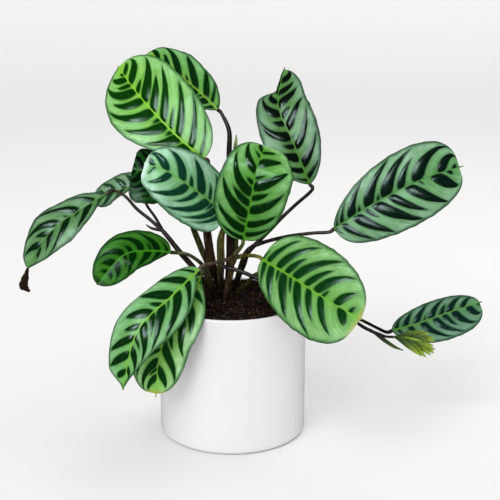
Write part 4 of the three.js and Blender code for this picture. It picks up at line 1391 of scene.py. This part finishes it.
def crumb_tree():
    """Geometry nodes: crumbs of many sizes over the top of the soil, half sunk into it."""
    nodes, given, result = new_geometry_group("Crumbs on the soil", [
        ("Crumb", "NodeSocketFloat", MM), ("Density", "NodeSocketFloat", 1000.0),
        ("Seed", "NodeSocketInt", 0)])
    up = nodes.height_of(nodes.get("GeometryNodeInputNormal"))
    level = nodes.get("FunctionNodeCompare", {"A": up, "B": CRUMB_LEAST_UP},
                      data_type="FLOAT", operation="GREATER_THAN")
    points = nodes.get("GeometryNodeDistributePointsOnFaces", {
        "Mesh": given["Geometry"], "Selection": level, "Density": given["Density"],
        "Seed": given["Seed"]}, distribute_method="RANDOM")
    grain = nodes.get("GeometryNodeMeshIcoSphere", {"Radius": 1.0, "Subdivisions": 1})
    turn = nodes.get("FunctionNodeRandomValue", {"Max": (FULL_TURN,) * 3, "Seed": 1},
                     data_type="FLOAT_VECTOR")
    size = nodes.get(
        "FunctionNodeRandomValue", {"Min": CRUMB_LEAST, "Max": CRUMB_MOST, "Seed": 2},
        data_type="FLOAT_VECTOR")
    crumbs = nodes.get("GeometryNodeInstanceOnPoints", {
        "Points": points, "Instance": grain, "Rotation": turn,
        "Scale": nodes.scaled(size, given["Crumb"])})
    tone = nodes.add("FunctionNodeRandomValue", {"Seed": 3}, data_type="FLOAT").outputs[1]
    crumbs = nodes.get(
        "GeometryNodeStoreNamedAttribute", {"Geometry": crumbs, "Name": "tone", "Value": tone},
        data_type="FLOAT", domain="INSTANCE")
    crumbs = nodes.get("GeometryNodeRealizeInstances", {"Geometry": crumbs})
    join = nodes.add("GeometryNodeJoinGeometry", {"Geometry": crumbs})
    nodes.feed(join.inputs["Geometry"], given["Geometry"])
    return finish_tree(nodes, given, result, join.outputs["Geometry"])


def soil_material(settings):
    """Dark damp crumbs, with a few dry light ones among them."""
    material, nodes, shader = new_material("Potting mix", roughness=0.85, reflection=0.12)
    marks = SOIL_MARKS
    place = nodes.objects_place()
    tone = nodes.attribute("tone")
    grain = nodes.noise(place, 900, 3.0, 0.6)
    patches = nodes.noise(place, 60)
    color = nodes.paint(settings.dark, tint(BROWN_TINT), tone, marks["brown"])
    color = nodes.paint(color, settings.light, tone, marks["specks"])
    color = nodes.shade(color, grain, marks["grain"])
    color = nodes.shade(color, patches, marks["patches"])
    nodes.feed(shader["Base Color"], color)
    bump(nodes, shader, grain, strength=0.7, distance=1.2 * MM)
    return material


def soil_height(x, y):
    """The height of the soil's top, with its lumps, the mound and the bank."""
    low = np.sin(x * 0.21 + 1.3) * np.cos(y * 0.17 - 0.4) + 0.5 * np.sin((x + y) * 0.33)
    fine = np.sin(x * 1.3 + 2 * np.sin(y * 0.9)) * np.cos(y * 1.1 + x * 0.4)
    off = (x - MOUND_MIDDLE[0]) ** 2 + (y - MOUND_MIDDLE[1]) ** 2
    mound = MOUND * np.exp(-off / MOUND_SPREAD)
    bank = BANK * smooth_step(y, BANK_START, BANK_END)
    return SOIL_TOP + LUMPS * low + np.maximum(mound, bank) + FINE_LUMPS * fine


def glaze_material(settings):
    """White glaze, a little cloudy."""
    material, nodes, shader = new_material("Satin glaze", roughness=0.3, reflection=0.5)
    place = nodes.objects_place()
    cloud = nodes.noise(place, 14, 3.0)
    color = nodes.paint(settings.glaze, tint(GLAZE_CLOUD), cloud, (0, 1))
    nodes.feed(shader["Base Color"], color)
    bump(nodes, shader, nodes.noise(place, 420, 3.0), strength=0.05, distance=0.6 * MM)
    return material


# ------------------------------------------------------------------------------ pods


def pod(route, radii, side, flatness, rings=16, sides=14, keel=0.25):
    """A flattened pointed body along a route: its points, its faces, and where each point is.

    Its wide faces carry a keel.
    """
    shares = np.linspace(0, 1, rings)
    centre, tangent = through(route, shares)
    spread = spread_along(radii, shares)
    across = np.array(side, float) - tangent * (tangent @ np.array(side, float))[:, None]
    across /= np.linalg.norm(across, axis=1, keepdims=True)
    other = np.cross(tangent, across)
    points = []
    values = []
    for i in range(rings):
        for k in range(sides):
            angle = 2 * math.pi * k / sides
            high = math.sin(angle) * (1 + keel * abs(math.sin(angle)) ** KEEL_POWER)
            points.append(centre[i] + spread[i] * (
                across[i] * math.cos(angle) + other[i] * flatness * high))
            values.append((shares[i], math.cos(angle)))
    last = (rings - 1) * sides
    caps = [tuple(range(sides - 1, -1, -1)), tuple(range(last, last + sides))]
    return points, skin(rings, sides) + caps, values


def bract_material(name, root, body, tip, tip_start):
    """Leafy bracts: darker at the root, ribbed lengthwise, with a dry tip."""
    material, nodes, shader = new_material(name, roughness=0.45, reflection=0.35)
    marks = BRACT_MARKS
    along = nodes.attribute("along")
    across = nodes.attribute("across")
    mottle = nodes.noise(nodes.objects_place(), 420, 3.0, 0.55)
    ribs = nodes.maths("SINE", nodes.maths("MULTIPLY", across, BRACT_RIBS))
    way = nodes.total(along, nodes.swing(mottle, 0.5))
    color = nodes.paint(root, body, way, marks["body"])
    color = nodes.paint(color, root, ribs, marks["ribs"])
    color = nodes.paint(color, root, mottle, marks["mottle"])
    # Painted shade along the edges of each bract, as where the bracts overlap.
    color = nodes.paint(color, root, nodes.maths("ABSOLUTE", across), marks["edge"])
    end = nodes.total(along, nodes.maths("MULTIPLY", mottle, 0.08))
    color = nodes.paint(color, tip, end, (tip_start, tip_start + BRACT_TIP_LENGTH))
    nodes.feed(shader["Base Color"], color)
    bump(nodes, shader, ribs, strength=0.25, distance=0.4 * MM)
    return material


def make_pods(name, pods, material, node):
    """One piece of several pods."""
    points = []
    faces = []
    values = []
    for some_points, some_faces, some_values in pods:
        start = len(points)
        points += some_points
        values += some_values
        faces += [tuple(start + i for i in face) for face in some_faces]
    piece = new_piece(name, points, faces, [material], sharp=50)
    along, across = np.array(values).T
    point_attribute(piece.data, "along", along)
    point_attribute(piece.data, "across", across)
    settle(piece, "spike", node)


# ------------------------------------------------------------------------------ operators


class CTENANTHE_OT_pot(bpy.types.Operator):
    """Turn the pot and give it a satin white glaze"""

    bl_idname = "ctenanthe.pot"
    bl_label = "Build the pot"

    def execute(self, context):
        settings = context.scene.ctenanthe_pot
        radius = settings.radius / MM
        height = settings.height / MM
        rim = settings.wall / MM / 2
        inset = settings.foot_inset / MM
        inner = radius - 2 * rim
        recess = radius - 2 * inset
        corner = POT_FLOOR + POT_CORNER_RADIUS
        profile = [(recess - POT_RECESS_SLOPE, POT_RECESS), (recess, 0.0)]
        steps = POT_STEPS
        profile += arc(radius - inset, inset, inset, -90, 0, steps["foot"])
        side = np.linspace(inset, height - rim, steps["side"])[1:-1]
        profile += [(radius, z) for z in side]
        profile += arc(radius - rim, height - rim, rim, 0, 180, steps["rim"])
        inside = np.linspace(height - rim, corner, steps["inside"])[1:]
        profile += [(inner, z) for z in inside]
        profile += arc(inner - POT_CORNER_RADIUS, corner, POT_CORNER_RADIUS, 0, -90,
                       steps["corner"])[1:]
        points, faces = turned(profile, POT_SIDES)
        close_on_axis(points, faces, POT_SIDES, POT_RECESS, POT_FLOOR)
        piece = new_piece("pot_glazed", points, faces, [glaze_material(settings)], sharp=40)
        settle(piece, "pot", "pot")
        return {"FINISHED"}


class CTENANTHE_OT_soil(bpy.types.Operator):
    """Fill the pot with potting mix and scatter crumbs over it"""

    bl_idname = "ctenanthe.soil"
    bl_label = "Build the soil"

    def execute(self, context):
        settings = context.scene.ctenanthe_soil
        low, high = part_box("soil")
        outer = float(high[0]) / MM
        bottom = float(low[2]) / MM
        profile = [(outer - SOIL_BEVEL, bottom), (outer, bottom + SOIL_BEVEL),
                   (outer, SOIL_TOP - SOIL_SHOULDER)]
        angle = 2 * np.pi * np.arange(SOIL_SIDES) / SOIL_SIDES
        for radius in np.linspace(outer, 0, SOIL_RINGS + 1)[:-1]:
            height = soil_height(radius * np.cos(angle), radius * np.sin(angle))
            profile.append((radius, height))
        points, faces = turned(profile, SOIL_SIDES)
        close_on_axis(points, faces, SOIL_SIDES, bottom, soil_height(0.0, 0.0))
        base = new_piece("soil_base", points, faces, [])
        piece = run_nodes("soil_crumbs", base, crumb_tree(), Crumb=settings.crumb,
                          Density=settings.density, Seed=settings.seed,
                          Material=soil_material(settings))
        settle(piece, "soil", "soil")
        return {"FINISHED"}


class CTENANTHE_OT_shoots(bpy.types.Operator):
    """Grow the shoots with their leaf stalks"""

    bl_idname = "ctenanthe.shoots"
    bl_label = "Build the shoots"

    def execute(self, context):
        settings = context.scene.ctenanthe_stems
        tree = stem_tree()
        material = stem_material()
        for name in SHOOTS:
            make_shoot(name, tree, settings, material)
        return {"FINISHED"}


class CTENANTHE_OT_leaves(bpy.types.Operator):
    """Build every leaf blade with its dark bands"""

    bl_idname = "ctenanthe.leaves"
    bl_label = "Build the leaves"

    def execute(self, context):
        settings = context.scene.ctenanthe_leaves
        markings = blade_markings()
        for key, (*colours, tip, tip_start) in TINTS.items():
            upper = blade_material(
                "Blade " + key, markings, (*colours, RIM_TINT, tip), tip_start,
                settings.roughness, REFLECTIONS.get(key, REFLECTION))
            under = blade_material(
                "Underside " + key, markings, (*UNDERSIDE_TINTS, RIM_TINT, tip), tip_start,
                UNDERSIDE_ROUGHNESS, UNDERSIDE_REFLECTION)
            piece = make_blade(key, settings, [upper, under])
            settle(piece, "leaf", "leaf_" + key)
        return {"FINISHED"}


class CTENANTHE_OT_spike(bpy.types.Operator):
    """Build the flower spike, the bract on its stalk and the bud"""

    bl_idname = "ctenanthe.spike"
    bl_label = "Build the flower spike"

    def execute(self, context):
        settings = context.scene.ctenanthe_spike
        pods = [pod(SPIKE_AXIS, SPIKE_AXIS_RADII, SPIKE_SIDE, flatness=1.0)]
        for row, tips in BRACT_TIPS.items():
            half = BRACT_HALF_WIDTH[row]
            sideways = np.array(SPIKE_SIDE) * half
            for i, tip in enumerate(tips):
                (root,), _, _ = by_length(SPIKE_AXIS, np.array([BRACT_FIRST + BRACT_STEP * i]))
                way = np.array(tip, float) - root
                route = [root + way * share + sideways * shift for share, shift, _ in BRACT_FORM]
                radii = [half * size for _, _, size in BRACT_FORM]
                pods.append(pod([*route, tip], [*radii, BRACT_TIP_HALF_WIDTH], SPIKE_SIDE,
                                BRACT_FLATNESS))
        green = bract_material("Flower bracts", settings.shade, settings.green, settings.tip,
                               tip_start=0.94)
        make_pods("flower_spike_bracts", pods, green, "flower_spike")
        olive = bract_material("Stalk bract", tint("1E2A10"), tint("4C6A22"), settings.tip,
                               tip_start=0.95)
        blade = pod(STALK_BRACT_ROUTE, STALK_BRACT_RADII, SPIKE_SIDE, STALK_BRACT_FLATNESS)
        make_pods("stalk_bract_blade", [blade], olive, "stalk_bract")
        young = bract_material("Bud", tint("5E7A34"), tint("A2B86A"), tint("8C7A44"),
                               tip_start=0.97)
        sheath = pod(BUD_ROUTE, BUD_RADII, (1, 0, 0), BUD_FLATNESS)
        make_pods("bud_sheath", [sheath], young, "bud")
        return {"FINISHED"}


class CTENANTHE_OT_stage(bpy.types.Operator):
    """Set the pale floor, the soft lights and the camera"""

    bl_idname = "ctenanthe.stage"
    bl_label = "Build the stage"

    def execute(self, context):
        settings = context.scene.ctenanthe_stage
        scene = context.scene
        material, _, shader = new_material("Pale floor", roughness=0.85, reflection=0.2)
        shader["Base Color"].default_value = settings.floor
        points, faces = turned(FLOOR_PROFILE, FLOOR_SIDES)
        faces = [tuple(reversed(face)) for face in faces] + [tuple(range(FLOOR_SIDES))]
        floor = new_piece("floor", np.array(points) / MM, faces, [material])
        floor.visible_glossy = False
        self.hang("key", "SUN", settings.key, KEY_SPOT, KEY_TARGET,
                  angle=math.radians(KEY_ANGLE)).visible_glossy = False
        self.hang("top", "AREA", settings.top, TOP_SPOT, PLANT_MIDDLE,
                  shape="DISK", size=TOP_SIZE).visible_glossy = False
        for name, (azimuth, height, size) in GLINTS.items():
            turn = math.radians(azimuth)
            rise = math.radians(height)
            way = Vector((math.sin(turn) * math.cos(rise), -math.cos(turn) * math.cos(rise),
                          math.sin(rise)))
            spot = Vector(PLANT_MIDDLE) + way * GLINT_DISTANCE
            self.hang(name, "AREA", settings.glint, spot, PLANT_MIDDLE,
                      shape="DISK", size=size).visible_diffuse = False
        world = bpy.data.worlds.new("Surround")
        world.use_nodes = True
        background = world.node_tree.nodes["Background"]
        background.inputs["Color"].default_value = SKY_COLOR
        nodes = Nodes(world.node_tree)
        mirrored = nodes.add("ShaderNodeLightPath").outputs["Is Glossy Ray"]
        strength = nodes.mark(mirrored, 0.0, 1.0, settings.sky, settings.sky * MIRRORED_SKY)
        nodes.feed(background.inputs["Strength"], strength)
        scene.world = world
        lens = bpy.data.cameras.new("camera")
        lens.sensor_width = CAMERA_SENSOR
        lens.lens = CAMERA_LENS
        lens.clip_end = CAMERA_REACH
        camera = add_object("camera", lens)
        camera.location = CAMERA_SPOT
        camera.rotation_euler = (math.radians(CAMERA_PITCH), 0, 0)
        scene.camera = camera
        scene.view_settings.view_transform = "Standard"
        return {"FINISHED"}

    def hang(self, name, kind, energy, spot, target, **settings):
        """A lamp at a spot, aimed at a target."""
        light = bpy.data.lights.new(name, kind)
        light.energy = energy
        for setting, value in settings.items():
            setattr(light, setting, value)
        lamp = add_object(name, light)
        lamp.location = spot
        lamp.rotation_euler = (Vector(target) - Vector(spot)).to_track_quat("-Z", "Y").to_euler()
        return lamp


# Each part's operator, and the name and the kind of its settings.
PARTS = [
    (CTENANTHE_OT_pot, "ctenanthe_pot", PotSettings),
    (CTENANTHE_OT_soil, "ctenanthe_soil", SoilSettings),
    (CTENANTHE_OT_shoots, "ctenanthe_stems", StemSettings),
    (CTENANTHE_OT_leaves, "ctenanthe_leaves", LeafSettings),
    (CTENANTHE_OT_spike, "ctenanthe_spike", SpikeSettings),
    (CTENANTHE_OT_stage, "ctenanthe_stage", StageSettings),
]


class CTENANTHE_PT_parts(bpy.types.Panel):
    """Lists the parts of the plant and their settings"""

    bl_idname = "CTENANTHE_PT_parts"
    bl_label = "Potted ctenanthe"
    bl_space_type = "VIEW_3D"
    bl_region_type = "UI"
    bl_category = "Ctenanthe"

    def draw(self, context):
        for operator, name, settings in PARTS:
            box = self.layout.box()
            for setting in settings.__annotations__:
                box.prop(getattr(context.scene, name), setting)
            box.operator(operator.bl_idname)


def register():
    for operator, name, settings in PARTS:
        bpy.utils.register_class(settings)
        bpy.utils.register_class(operator)
        setattr(bpy.types.Scene, name, bpy.props.PointerProperty(type=settings))
    bpy.utils.register_class(CTENANTHE_PT_parts)


def unregister():
    bpy.utils.unregister_class(CTENANTHE_PT_parts)
    for operator, name, settings in reversed(PARTS):
        delattr(bpy.types.Scene, name)
        bpy.utils.unregister_class(operator)
        bpy.utils.unregister_class(settings)


def main():
    register()
    bpy.ops.ctenanthe.pot()
    bpy.ops.ctenanthe.soil()
    bpy.ops.ctenanthe.shoots()
    bpy.ops.ctenanthe.leaves()
    bpy.ops.ctenanthe.spike()
    bpy.ops.ctenanthe.stage()


if __name__ == "__main__":
    main()
